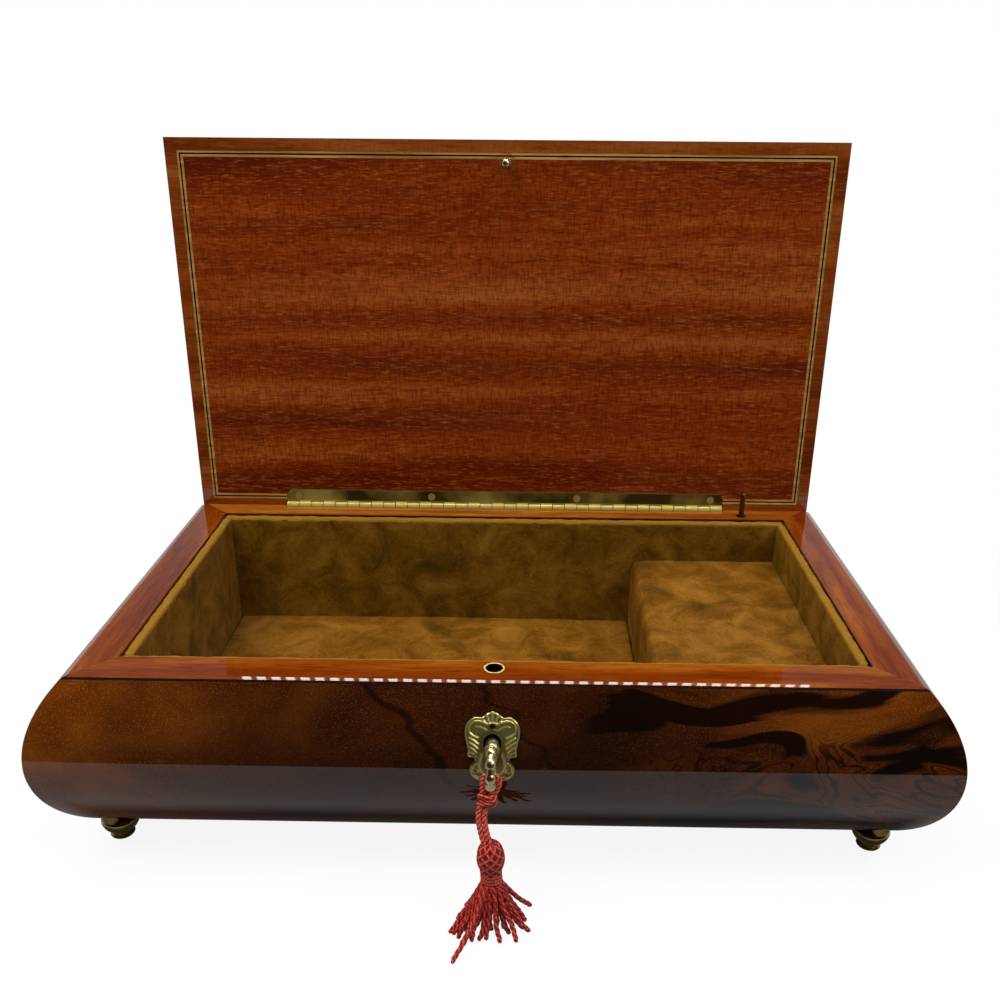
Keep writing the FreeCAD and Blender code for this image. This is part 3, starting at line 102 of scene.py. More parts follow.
class Nodes:
    """Node tree of a material or of the world, with the one way to add to it."""

    def __init__(self, owner: Any, cleared: bool = True) -> None:
        """Opens the owner's tree, and clears it unless its own shader is wanted."""
        owner.use_nodes = True
        self.owner, self.tree = owner, owner.node_tree
        if cleared:
            self.tree.nodes.clear()

    def add(self, kind: str, inputs: Any = (), ramp: Ramp = (), out: int | str = 0, **settings: Any) -> Any:
        """Adds a node with its settings and links.

        Args:
            kind: Blender's name for the node, after "ShaderNode".
            inputs: Values or output sockets to link, in the order of the node's inputs or by input.
            ramp: Pairs of position and hex colour for a colour ramp.
            out: Output to return.
            settings: Properties of the node.

        Returns:
            The output socket, or nothing for a node without one.
        """
        item = self.tree.nodes.new("ShaderNode" + kind)
        for key, value in settings.items():
            setattr(item, key, value)
        for key, value in inputs.items() if isinstance(inputs, dict) else enumerate(inputs):
            if isinstance(value, Socket):
                self.tree.links.new(value, item.inputs[key])
            else:
                item.inputs[key].default_value = value
        if ramp:
            elements = item.color_ramp.elements
            for _ in range(len(ramp) - 2):
                elements.new(0.5)
            for element, (position, code) in zip(elements, ramp):
                element.position = position
                element.color = linear(code)
        return item.outputs[out] if item.outputs else None


class Surface(Nodes):
    """Material with a Principled shader, patterned on object coordinates."""

    def __init__(self, name: str, **shader: Any) -> None:
        """Makes the material with values for the shader's own sockets, underscores for spaces."""
        super().__init__(bpy.data.materials.new(name), cleared=False)
        self.shader = self.tree.nodes["Principled BSDF"].inputs
        for key, value in shader.items():
            self.shader[key.replace("_", " ")].default_value = value
        self.place = self.add("TexCoord", out="Object")

    def finish(self, **patterns: Socket) -> Material:
        """Links patterns to the shader's sockets and returns the material."""
        for key, value in patterns.items():
            self.tree.links.new(value, self.shader[key.replace("_", " ")])
        return self.owner

    def from_axis(self, point: Triple, across: Triple) -> tuple[Socket, Socket]:
        """Distance from an axis: length of the offset from a point on it, less the offset's part along it.

        Args:
            point: Point on the axis.
            across: One for each coordinate across the axis, zero for the one along it.

        Returns:
            The distance and the offset.
        """
        offset = self.add("VectorMath", (self.place, point), operation="SUBTRACT")
        flat = self.add("VectorMath", (offset, across), operation="MULTIPLY")
        return self.add("VectorMath", (flat,), out="Value", operation="LENGTH"), offset


# Finishes

class Grain(Enum):
    """Way that a wood's grain runs, as the factors that stretch its pattern."""

    ALONG_X = 0
    ALONG_Y = 1
    ALONG_Z = 2

    def scale(self, stretch: float) -> Triple:
        """Returns the mapping scale that draws the pattern out along the grain."""
        factors = [1.0, 1.0, 1.0]
        factors[self.value] = 1.0 / stretch
        return tuple(factors)


@dataclass(frozen=True)
class Veneer:
    """Sliced veneer under a thick gloss polyester lacquer.

    The wood itself is matt; the lacquer is a clear coat with a mirror's sharp reflections.
    """

    name: str
    deep: str
    middle: str
    pale: str
    band: float = 9.0
    stretch: float = 7.0
    warp: float = 1.2
    pores: float = 0.6
    flecks: float = 0.3
    ripple: float = 0.0
    speckle: float = 0.0
    spark: str = ""
    heart: str = ""
    veins: tuple[float, ...] = ()
    # painted shade: ramp along X that darkens the sheet towards the heartwood's colour
    painted_shade: Ramp = ()
    edge: str = ""
    edge_height: float = 75.65
    bands: Ramp = ()
    band_span: tuple[float, float] = (0.0, 1.0)
    band_wave: float = 0.016
    grain: Grain = Grain.ALONG_X
    shift: float = 0.0
    coat: float = 1.0

    def build(self) -> Material:
        """Mixes the broad figure with flecks along the grain, ripple across it, speckle and heart veins.

        Returns:
            The material.
        """
        wood = Surface(self.name, Roughness=0.6, Specular_IOR_Level=0.0, Coat_Weight=self.coat, Coat_Roughness=0.02,
                       Coat_IOR=1.5)
        along = wood.add("Mapping", {
            "Vector": wood.place, "Location": (self.shift, 0.37 * self.shift, 0.11 * self.shift),
            "Scale": self.grain.scale(self.stretch)})
        figure = wood.add("TexNoise", {
            "Vector": along, "Scale": per(self.band), "Detail": 3.0, "Roughness": 0.5, "Distortion": self.warp})
        height = wood.add("SeparateXYZ", (wood.place,), out="Z")
        if self.bands:
            # bands at set heights, waved by the figure and shaded by it
            low, high = (end + 0.5 * self.band_wave for end in self.band_span)
            level = wood.add("Math", (figure, self.band_wave, height), operation="MULTIPLY_ADD")
            band = wood.add("ValToRGB", (wood.add("MapRange", (level, low, high)),), self.bands)
            figure = wood.add("Math", (figure, 0.55), operation="MULTIPLY")
            figure = wood.add("Math", (band, 0.45, figure), operation="MULTIPLY_ADD")
        colour = wood.add("ValToRGB", (figure,), ((0.32, self.deep), (0.50, self.middle), (0.70, self.pale)))
        for over, size, scale, (start, full), strength in self.layers():
            mapped = wood.add("Mapping", {
                "Vector": wood.place, "Location": (self.shift, self.shift, 0.5 * self.shift), "Scale": scale})
            pattern = wood.add("TexNoise", {"Vector": mapped, "Scale": per(size), "Detail": 3.0, "Roughness": 0.6})
            mask = wood.add("MapRange", (pattern, start, full, 0.0, strength))
            colour = wood.add("Mix", {0: mask, 6: colour, 7: linear(over)}, out=2, data_type="RGBA")
        if self.heart:
            colour = self.heart_veins(wood, colour)
        if self.edge:
            below = wood.add("Math", (height, self.edge_height * MM), operation="LESS_THAN")
            colour = wood.add("Mix", {0: below, 6: colour, 7: linear(self.edge)}, out=2, data_type="RGBA")
        return wood.finish(Base_Color=colour)

    def layers(self) -> list[tuple[str, float, Triple, tuple[float, float], float]]:
        """Colours laid over the figure, each by a noise that is cut to a mask.

        Returns:
            Hex colour, size in millimetres, stretch, noise values where the mask starts and is full, and strength.
        """
        # pores and flecks are about 0.1 mm wide; they are drawn 1.1 and 1.3 mm wide, or they wouldn't show
        found = [(self.deep, 1.1, self.grain.scale(9.0), (0.50, 0.66), self.pores),
                 (self.pale, 1.3, self.grain.scale(12.0), (0.52, 0.72), self.flecks)]
        if self.ripple > 0:
            across = Grain.ALONG_Z if self.grain is Grain.ALONG_X else Grain.ALONG_X
            found += [(self.deep, 0.75, across.scale(7.0), (0.44, 0.64), self.ripple),
                      (self.pale, 0.75, self.grain.scale(6.0), (0.54, 0.70), 0.8 * self.ripple),
                      (self.deep, 0.75, self.grain.scale(7.0), (0.50, 0.70), 0.8 * self.ripple)]
        if self.speckle > 0:
            # the pores' bright filler is about 0.1 mm across; it is drawn 0.4 mm across, or it wouldn't show
            found.append((self.spark, 0.42, (1.0, 1.0, 1.0), (0.55, 0.72), self.speckle))
        return found

    def heart_veins(self, wood: Surface, colour: Socket) -> Socket:
        """Lays the dark heartwood over the sapwood: bold flames towards +X, thin veins elsewhere.

        The flames and their streaks follow one noise whose coordinates a slower noise has bent; each vein is a
        leaning line that the same noise waves, and a ramp along X paints shade over the sheet, darkest in its middle.

        Args:
            wood: The veneer's nodes.
            colour: Colour underneath.

        Returns:
            The mixed colour.
        """
        slow = wood.add("TexNoise", {"Vector": wood.place, "Scale": per(95.0), "Detail": 1.0}, out="Color")
        bend = wood.add("VectorMath", (slow, (0.14, 0.14, 0.09)), operation="MULTIPLY")
        bent = wood.add("VectorMath", (wood.place, bend), operation="ADD")
        mapped = wood.add("Mapping", {
            "Vector": bent, "Location": (1.7 * self.shift + 0.3, 0.2, 0.1), "Scale": self.grain.scale(4.5)})
        flow = wood.add("TexNoise", {
            "Vector": mapped, "Scale": per(20.0), "Detail": 3.0, "Roughness": 0.40, "Distortion": 0.7})
        # flames lie where the flow is low, and rings of the flow streak the wall, less so higher up
        flames = wood.add("MapRange", (flow, 0.55, 0.43, 0.0, 0.98))
        parts = wood.add("SeparateXYZ", (wood.place,)).node.outputs
        turns = wood.add("Math", (flow, 75.0), operation="MULTIPLY")
        streaks = wood.add("MapRange", (wood.add("Math", (turns,), operation="SINE"), -0.1, 1.0, 0.0, 0.9))
        low = wood.add("MapRange", (parts["Z"], 0.056, 0.072, 1.0, 0.35))
        streaks = wood.add("Math", (streaks, low), operation="MULTIPLY")
        flames = wood.add("Math", (flames, streaks), operation="MAXIMUM")
        # both fade towards -X
        side = wood.add("MapRange", (parts["X"], -0.01, 0.035, 0.06, 1.0))
        dark = wood.add("Math", (flames, side), operation="MULTIPLY")
        # veins fade within 8 mm of their leaning lines
        leaning = wood.add("Math", (parts["Z"], parts["X"]), operation="ADD")
        leaning = wood.add("Math", (flow, 0.04, leaning), operation="MULTIPLY_ADD")
        for place_of_vein in self.veins:
            spread = wood.add("Math", (leaning, place_of_vein), operation="SUBTRACT")
            width = wood.add("Math", (spread,), operation="ABSOLUTE")
            vein = wood.add("MapRange", (width, 0.0, 0.008, 0.92, 0.0), interpolation_type="SMOOTHERSTEP")
            dark = wood.add("Math", (dark, vein), operation="MAXIMUM")
        # painted shade along X, laid with the flames and veins
        along = wood.add("MapRange", (parts["X"], -0.15, 0.15))
        painted_shade = wood.add("ValToRGB", (along,), self.painted_shade)
        both = wood.add("Math", (dark, painted_shade), operation="MAXIMUM")
        return wood.add("Mix", {0: both, 6: colour, 7: linear(self.heart)}, out=2, data_type="RGBA")


@dataclass(frozen=True)
class Metal:
    """Metal with a fine uneven polish: turned, cast or drawn, by its roughness and stain."""

    name: str
    bright: str
    stain: str
    roughness: float
    patch: float = 6.0
    stained: float = 0.35
    metallic: float = 1.0
    relief: bool = False

    def build(self) -> Material:
        """Mixes the bright metal with its stain by patches, and by the relief's hollows where it has one.

        Returns:
            The material.
        """
        metal = Surface(self.name, Metallic=self.metallic)
        patches = metal.add("TexNoise", {"Vector": metal.place, "Scale": per(self.patch), "Detail": 4.0})
        mask = metal.add("MapRange", (patches, 0.35, 0.75, 0.0, self.stained))
        if self.relief:
            height = metal.add("Attribute", out="Fac", attribute_name="relief")
            hollow = metal.add("MapRange", (height, 0.1, 0.75, 0.9, 0.0))
            mask = metal.add("Math", (mask, hollow), operation="MAXIMUM")
        colour = metal.add("Mix", {0: mask, 6: linear(self.bright), 7: linear(self.stain)}, out=2, data_type="RGBA")
        rough = metal.add("MapRange", (patches, 0.2, 0.8, 0.75 * self.roughness, 1.35 * self.roughness))
        grit = metal.add("TexNoise", {"Vector": metal.place, "Scale": per(0.5), "Detail": 2.0})
        bump = metal.add("Bump", {"Height": grit, "Strength": 0.05, "Distance": 0.1 * MM})
        return metal.finish(Base_Color=colour, Roughness=rough, Normal=bump)


@dataclass(frozen=True)
class Plush:
    """Rayon plush glued to card: short pile that lies in patches, with a pale sheen at grazing angles.

    Along the pads' upper edges the colour turns pale: a painted highlight.
    """

    name: str
    deep: str
    middle: str
    pale: str
    patch: float = 16.0
    sheen: float = 0.14
    # height of the pads' top, just below which a painted highlight runs
    top: float = 0.0

    def build(self) -> Material:
        """Mixes brushed patches with the pile's own grain.

        Returns:
            The material.
        """
        cloth = Surface(self.name, Roughness=0.95, Sheen_Weight=self.sheen, Sheen_Roughness=0.45,
                        Sheen_Tint=linear(self.pale), Specular_IOR_Level=0.1)
        brushed = cloth.add("TexNoise", {
            "Vector": cloth.place, "Scale": per(self.patch), "Detail": 5.0, "Roughness": 0.62, "Distortion": 0.6})
        # pile is about 0.3 mm thick; it is drawn 1.1 mm thick, or it wouldn't show
        pile = cloth.add("TexNoise", {"Vector": cloth.place, "Scale": per(1.1), "Detail": 3.0, "Roughness": 0.7})
        blend = cloth.add("Math", (pile, 0.34, brushed), operation="MULTIPLY_ADD")
        colour = cloth.add("ValToRGB", (blend,), ((0.42, self.deep), (0.64, self.middle), (0.96, self.pale)))
        height = cloth.add("SeparateXYZ", (cloth.place,), out="Z")
        # painted highlight: the colour turns pale just below the pads' top
        wear_and_painted_highlight = cloth.add("MapRange", (height, self.top - 2.2 * MM, self.top - 0.3 * MM, 0.0, 0.75))
        colour = cloth.add("Mix", {0: wear_and_painted_highlight, 6: colour, 7: linear(self.pale)}, out=2, data_type="RGBA")
        bump = cloth.add("Bump", {"Height": pile, "Strength": 0.7, "Distance": 0.6 * MM})
        return cloth.finish(Base_Color=colour, Normal=bump)


@dataclass(frozen=True)
class Viscose:
    """Spun viscose thread: painted highlight on the crowns of the twist, and painted shade, much darker, between the
    plies.
    """

    name: str
    deep: str
    middle: str
    pale: str

    def build(self) -> Material:
        """Mixes the colour by the twist's relief, for the painted highlight and shade, and by the fibres' grain, and
        gives the fibres a bump.

        Returns:
            The material.
        """
        thread = Surface(self.name, Roughness=0.5, Sheen_Weight=0.15, Sheen_Roughness=0.35,
                         Sheen_Tint=linear(self.pale), Specular_IOR_Level=0.35)
        fibres = thread.add("TexNoise", {"Vector": thread.place, "Scale": per(0.5), "Detail": 2.0, "Roughness": 0.6})
        relief = thread.add("Attribute", out="Fac", attribute_name="relief")
        # painted highlight on the crowns, painted shade between the plies
        blend = thread.add("Math", (relief, 0.6, fibres), operation="MULTIPLY_ADD")
        colour = thread.add("ValToRGB", (blend,), ((0.52, self.deep), (0.86, self.middle), (1.0, self.pale)))
        bump = thread.add("Bump", {"Height": blend, "Strength": 0.6, "Distance": 0.3 * MM})
        return thread.finish(Base_Color=colour, Normal=bump)


@dataclass(frozen=True)
class SeatedKnob:
    """Brass knob whose flange lies under the lid's veneers: the flange shows the wood and the lines it bears.

    Round the knob's foot the flange stays brass. Outside it the wood's bands follow the height.
    """

    name: str
    height: float
    washer: float = 2.3
    flange: float = 5.0

    def build(self) -> Material:
        """Mixes brass and wood by the distance from the knob's axis.

        Returns:
            The material.
        """
        knob = Surface(self.name, Roughness=0.28)
        distance, offset = knob.from_axis((0.0, 0.0, self.height), (1.0, 0.0, 1.0))
        brass = knob.add("Math", (distance, self.washer * MM), operation="LESS_THAN")
        rise = knob.add("SeparateXYZ", (offset,), out="Z")
        lines = knob.add("ValToRGB", (knob.add("MapRange", (rise, 0.0, self.flange * MM)),), (
            (0.0, "74300a"), (0.32, PALE_LINE.middle), (0.52, DARK_LINE.middle), (0.66, PALE_LINE.middle),
            (0.82, MAHOGANY.middle)))
        lines.node.color_ramp.interpolation = "CONSTANT"
        grain = knob.add("Mapping", {"Vector": knob.place, "Scale": Grain.ALONG_X.scale(8.0)})
        pores = knob.add("TexNoise", {"Vector": grain, "Scale": per(0.9), "Detail": 2.0})
        shade = knob.add("MapRange", (pores, 0.4, 0.7, 0.0, 0.6))
        wood = knob.add("Mix", {0: shade, 6: lines, 7: linear(SAPELE.deep)}, out=2, data_type="RGBA")
        colour = knob.add("Mix", {0: brass, 6: wood, 7: linear(KEY_BRASS.bright)}, out=2, data_type="RGBA")
        return knob.finish(Base_Color=colour, Metallic=brass)


@dataclass(frozen=True)
class RolledBrass:
    """Rolled brass of a piano hinge: knuckles painted bright as a highlight, leaves tarnished brown-green with painted
    highlights on their edges.
    """

    name: str
    pin: Triple
    knuckle: float = 2.0
    leaf: float = 7.6
    bright: str = "f2de78"
    tarnish: str = "3e3a14"

    def build(self) -> Material:
        """Mixes the bright brass with the tarnish by the distance from the pin, for the painted highlights, and by
        patches of wear.

        Returns:
            The material.
        """
        brass = Surface(self.name, Roughness=0.27, Metallic=0.6)
        distance, _ = brass.from_axis(self.pin, (0.0, 1.0, 1.0))
        # painted highlight: the knuckles' colour is bright
        painted_knuckle_highlight = brass.add("MapRange", (distance, self.knuckle * MM, (self.knuckle + 0.5) * MM, 1.0, 0.0))
        # painted highlight along the leaves' far edges
        top = brass.add("MapRange", (distance, self.leaf * MM, (self.leaf + 0.7) * MM, 0.0, 0.7))
        patches = brass.add("TexNoise", {"Vector": brass.place, "Scale": per(26.0), "Detail": 3.0})
        wear_and_painted_highlight = brass.add("MapRange", (patches, 0.42, 0.7, 0.0, 0.5))
        painted_highlight_and_wear = brass.add("Math", (painted_knuckle_highlight, wear_and_painted_highlight), operation="MAXIMUM")
        painted_highlight_and_wear = brass.add("Math", (painted_highlight_and_wear, top), operation="MAXIMUM")
        return brass.finish(Base_Color=brass.add("Mix", {
            0: painted_highlight_and_wear, 6: linear(self.tarnish), 7: linear(self.bright)}, out=2, data_type="RGBA"))


@dataclass(frozen=True)
class Ferrule:
    """Spun brass ferrule: a satin ring, and painted shade inside the bore."""

    name: str
    depth: float
    bore: float = 3.2
    wall: float = 0.15

    def build(self) -> Material:
        """Mixes the satin brass with the bore's painted shade by the distance from the ferrule's axis.

        Returns:
            The material.
        """
        brass = Surface(self.name, Roughness=0.4, Metallic=0.85)
        distance, _ = brass.from_axis((0.0, self.depth, 0.0), (1.0, 1.0, 0.0))
        # painted shade: near-black inside the bore
        ring = brass.add("MapRange", (distance, (self.bore - self.wall) * MM, self.bore * MM))
        grit = brass.add("TexNoise", {"Vector": brass.place, "Scale": per(0.8), "Detail": 2.0})
        satin = brass.add("ValToRGB", (grit,), ((0.3, "c4ac70"), (0.7, "e2cc92")))
        return brass.finish(Base_Color=brass.add("Mix", {
            0: ring, 6: linear("1a1c10"), 7: satin}, out=2, data_type="RGBA"))


@cache
def made(finish: Any) -> Material:
    """Returns a finish's material, which is built once."""
    return finish.build()


# flamed walnut: red-brown sapwood with gold specks under the lacquer, near-black heartwood, and painted shade across
# the sheet in the heartwood's colour
WALNUT = Veneer("walnut_flamed_lacquered", "3e1604", "602806", "844410", band=30.0, stretch=1.8, warp=0.8,
                pores=0.15, flecks=0.12, speckle=0.55, spark="c08038", heart="0c0503", veins=(0.050, 0.095), painted_shade=(
                    (0.02, "8c8c8c"), (0.06, "b4b4b4"), (0.13, "bebebe"), (0.18, "d2d2d2"), (0.25, "dcdcdc"),
                    (0.43, "dedede"), (0.61, "f0f0f0"), (0.73, "dcdcdc"), (0.79, "c8c8c8"), (0.94, "acacac")))
# plain mahogany: even red-brown, dark below the strip's edge, where it meets the wall
MAHOGANY = Veneer("mahogany_lacquered", "541a02", "6e2c04", "8e4c12", band=12.0, stretch=9.0, warp=0.4,
                  flecks=0.3, edge="180b05")
# quarter-cut sapele: orange bands that turn light and dark across the lid
SAPELE = Veneer("ribbon_sapele_lacquered", "561604", "86340c", "b4662a", band=17.0, stretch=16.0, warp=0.3,
                flecks=0.3, ripple=0.6)
# inlay strings: maple, and a line dyed black
PALE_LINE = Veneer("maple_line_lacquered", "8a6430", "a67c42", "c09a5c", band=3.0, stretch=20.0, flecks=0.1)
DARK_LINE = Veneer("dyed_line_lacquered", "100804", "1c0e06", "26160a", band=3.0, stretch=20.0, flecks=0.1)
# bare plywood, dull without a coat
PLYWOOD = Veneer("plain_plywood", "8a5c34", "a9784a", "c29564", band=8.0, stretch=9.0, coat=0.0)
# brass: machined, turned and aged, cast with dark hollows, and the satin of screws and key
POLISHED_BRASS = Metal("polished_brass", "dcb962", "7c6026", 0.14, stained=0.2)
AGED_BRASS = Metal("aged_turned_brass", "b39a62", "3c3016", 0.2, stained=0.45)
CAST_BRASS = Metal("cast_antique_brass", "dccc80", "5c5020", 0.36, patch=1.6, stained=0.4, metallic=0.78, relief=True)
SCREW_BRASS = Metal("turned_screw_brass", "c8b46c", "7c6828", 0.3, stained=0.2, metallic=0.7)
KEY_BRASS = Metal("key_brass", "d0bc8e", "7c6838", 0.33, stained=0.25)
# steel of the pin, dark as painted shade in the gaps between the knuckles, bronze of the stop rod and bright steel of
# the works
PIN_PAINTED_SHADE = Metal("oiled_steel_pin", "3c3428", "1c1812", 0.45, stained=0.5)
BRONZE = Metal("bronze_rod", "7c6240", "362814", 0.35, stained=0.5)
STEEL = Metal("bright_steel", "c9c9c6", "84827c", 0.25, stained=0.3)
# plush: gold-brown; on the walls the pile hangs down away from the light, and a darker, more olive copy paints that
# shade
PLUSH = Plush("gold_brown_plush", "3a2803", "674008", "8e6220")
UPRIGHT_PLUSH_PAINTED_SHADE = replace(PLUSH, name=PLUSH.name + "_upright", deep="3a2904", middle="644208", pale="8c6420")
# viscose: saturated red; its rosy crowns and dark hollows of the twist are painted highlight and painted shade
RED_VISCOSE = Viscose("red_viscose_cord", "4c0805", "a02014", "d45e4a")


# Surfaces from arrays

class Shell:
    """Grids of points gathered into one mesh, whose attribute relief says how high each point stands."""

    def __init__(self) -> None:
        """Starts with nothing."""
        self.points: list[np.ndarray] = []
        self.faces: list[list[int]] = []
        self.relief: list[np.ndarray] = []
        self.count = 0

    def add(self, grid: np.ndarray, wrap_u: bool = False, caps: bool = False, outward: bool = True,
            relief: np.ndarray | None = None) -> None:
        """Adds a grid of points as quads, whose last column joins the first, and turns them outwards.

        Args:
            grid: Points of shape (rows, columns, 3).
            wrap_u: Whether the last row joins the first.
            caps: Whether the first and last rows are closed with a face.
            outward: Whether to turn the faces by the enclosed volume's sign.
            relief: One number from 0 to 1 for each point.
        """
        rows, columns = grid.shape[:2]
        index = np.arange(rows * columns).reshape(rows, columns)
        if wrap_u:
            index = np.concatenate([index, index[:1]], axis=0)
        index = np.concatenate([index, index[:, :1]], axis=1)
        quads = np.stack([index[:-1, :-1], index[:-1, 1:], index[1:, 1:], index[1:, :-1]], axis=-1).reshape(-1, 4)
        flat = grid.reshape(-1, 3)
        turn = False
        if outward:
            middle = flat.mean(axis=0)
            a, b, c, d = (flat[quads[:, n]] - middle for n in range(4))
            volume = np.einsum("ij,ij->i", a, np.cross(b, c)).sum() + np.einsum("ij,ij->i", a, np.cross(c, d)).sum()
            turn = volume < 0
        if turn:
            quads = quads[:, ::-1]
        self.faces += (quads + self.count).tolist()
        if caps:
            first = np.arange(columns)
            last = first + (rows - 1) * columns
            for end in (first[::-1], last) if turn else (first, last[::-1]):
                self.faces.append((end + self.count).tolist())
        self.points.append(flat)
        self.relief.append(np.full(len(flat), 0.5) if relief is None else relief.reshape(-1))
        self.count += len(flat)

    def build(self, name: str, body: str, finish: Any, slot: str, *replaced: str) -> bpy.types.Object:
        """Makes the object, smooth, on its body.

        Args:
            name: Name of the piece.
            body: Body that it moves with.
            finish: Its finish.
            slot: The record's material slot; not used.
            replaced: CAD nodes that it stands for.

        Returns:
            The new object.
        """
        mesh = bpy.data.meshes.new(name)
        mesh.from_pydata(np.concatenate(self.points), [], self.faces)
        attribute = mesh.attributes.new("relief", "FLOAT", "POINT")
        attribute.data.foreach_set("value", np.concatenate(self.relief).astype(np.float32))
        mesh.polygons.foreach_set("use_smooth", np.ones(len(mesh.polygons), dtype=bool))
        mesh.materials.append(made(finish))
        mesh.update()
        piece = bpy.data.objects.new(name, mesh)
        bpy.context.scene.collection.objects.link(piece)
        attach(piece, body)
        if replaced:
            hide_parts(*replaced)
        LOG.info("%s: %d faces on %s", name, len(mesh.polygons), body)
        return piece


def unit(vectors: np.ndarray) -> np.ndarray:
    """Returns vectors at length one."""
    return vectors / np.maximum(np.linalg.norm(vectors, axis=-1, keepdims=True), 1e-12)


def travelled(points: np.ndarray) -> np.ndarray:
    """Returns the length along a line up to each of its points."""
    return np.concatenate([[0.0], np.cumsum(np.linalg.norm(np.diff(points, axis=0), axis=1))])


def resampled(points: np.ndarray, places: np.ndarray) -> np.ndarray:
    """Returns the points of a line at given lengths along it."""
    reach = travelled(points)
    return np.stack([np.interp(places, reach, values) for values in points.T], axis=1)


def tube(path: np.ndarray, radius: np.ndarray | float, sides: int, reference: Triple) -> np.ndarray:
    """Circle carried along a path: path + r (cos a * side + sin a * other), square to the path.

    Args:
        path: Points of shape (n, 3).
        radius: One radius, or one for each point, or one for each point and side.
        sides: Points round the circle.
        reference: Direction that is never along the path.

    Returns:
        Grid of shape (n, sides, 3).
    """
    tangent = unit(np.gradient(path, axis=0))
    side = unit(np.cross(np.broadcast_to(np.array(reference, dtype=float), tangent.shape), tangent))
    other = np.cross(tangent, side)
    angle = np.broadcast_to(np.arange(sides) * 2 * math.pi / sides, (len(path), sides))
    reach = np.broadcast_to(np.reshape(radius, (-1, 1)) if np.ndim(radius) < 2 else radius, (len(path), sides))
    ring = np.cos(angle)[..., None] * side[:, None] + np.sin(angle)[..., None] * other[:, None]
    return path[:, None] + reach[..., None] * ring


def ridge(distance: np.ndarray, width: float) -> np.ndarray:
    """Returns a bell curve of a distance: one on the line, falling to nothing within about two widths."""
    return np.exp(-(distance / width) ** 2)


def from_line(x: np.ndarray, v: np.ndarray, points: list[tuple[float, float]]) -> np.ndarray:
    """Distance from each place to a line of straight runs: the least over its runs.

    Args:
        x: Places across.
        v: Places up.
        points: Corners of the line.

    Returns:
        Distances, of the shape of x.
    """
    line = np.array(points, dtype=float)
    start, run = line[:-1], np.diff(line, axis=0)
    offset = np.stack([x, v], axis=-1)[..., None, :] - start
    share = np.clip((offset * run).sum(axis=-1) / (run ** 2).sum(axis=-1), 0, 1)
    return np.linalg.norm(offset - share[..., None] * run, axis=-1).min(axis=-1)


def lathe(profile: np.ndarray, centre: Triple, sides: int, axis: int = 2) -> np.ndarray:
    """Profile of (radius, height) turned about an axis through a centre.

    Args:
        profile: Pairs of shape (n, 2), in metres.
        centre: Point on the axis, at height zero.
        sides: Points round the axis.
        axis: 1 for Y or 2 for Z.

    Returns:
        Grid of shape (n, sides, 3).
    """
    angle = np.arange(sides) * 2 * math.pi / sides
    radius, height = profile[:, :1], profile[:, 1:]
    grid = np.zeros((len(profile), sides, 3))
    first, second = ((0, 1) if axis == 2 else (0, 2))
    grid[..., first] = radius * np.cos(angle)
    grid[..., second] = radius * np.sin(angle)
    grid[..., axis] = height
    return grid + np.array(centre)


def smooth_profile(points: list[tuple[float, float]], samples: int, sharp: float = 0.25) -> np.ndarray:
    """Profile through points, eased at each of them: straight runs resampled, then averaged over a short window.

    Args:
        points: (radius, height) pairs in millimetres.
        samples: Points of the result.
        sharp: Half width of the window, in millimetres.

    Returns:
        Profile of shape (samples, 2), in metres.
    """
    raw = np.array(points, dtype=float)
    fine = np.linspace(0, travelled(raw)[-1], samples * 4)
    line = resampled(raw, fine)
    window = max(1, int(sharp / (fine[1] - fine[0])))
    kernel = np.ones(2 * window + 1) / (2 * window + 1)
    padded = np.pad(line, ((window, window), (0, 0)), mode="edge")
    eased = np.stack([np.convolve(padded[:, n], kernel, mode="valid") for n in (0, 1)], axis=1)
    eased[0], eased[-1] = line[0], line[-1]
    return eased[np.linspace(0, len(eased) - 1, samples).astype(int)] * MM


def bezier(points: np.ndarray, count: int) -> np.ndarray:
    """Cubic curves of four control points: sum of binomial weights times points.

    Args:
        points: Control points of shape (curves, 4, 3).
        count: Points along each curve.

    Returns:
        Points of shape (curves, count, 3).
    """
    t = np.linspace(0, 1, count)
    weights = np.stack([(1 - t) ** 3, 3 * t * (1 - t) ** 2, 3 * t ** 2 * (1 - t), t ** 3], axis=1)
    return np.einsum("tk,ckd->ctd", weights, points)


def rounded_loop(corners: list[tuple[float, float]], radii: list[float], steps: int = 7) -> np.ndarray:
    """Closed outline with an arc in each corner: arc centre plus radius times the turning direction.

    Args:
        corners: Corner points in order.
        radii: Radius of each corner.
        steps: Points on each arc.

    Returns:
        Outline of shape (n, 2), with short runs between the arcs.
    """
    shape = np.array(corners, dtype=float)
    rows = []
    for n, radius in enumerate(radii):
        before, corner, after = shape[n - 1], shape[n], shape[(n + 1) % len(shape)]
        back, ahead = unit(before - corner), unit(after - corner)
        half = 0.5 * math.acos(float(np.clip(back @ ahead, -1, 1)))
        setback = radius / math.tan(half)
        t = np.linspace(0, 1, steps)[:, None]
        start, end = corner + back * setback, corner + ahead * setback
        rows.append((1 - t) ** 2 * start + 2 * t * (1 - t) * corner + t ** 2 * end)
    loop = np.concatenate(rows)
    closed = np.concatenate([loop, loop[:1]])
    reach = travelled(closed)
    merged = np.unique(np.concatenate([reach[:-1], np.arange(0, reach[-1], 2.5)]).round(4))
    return resampled(closed, merged)


# Studio

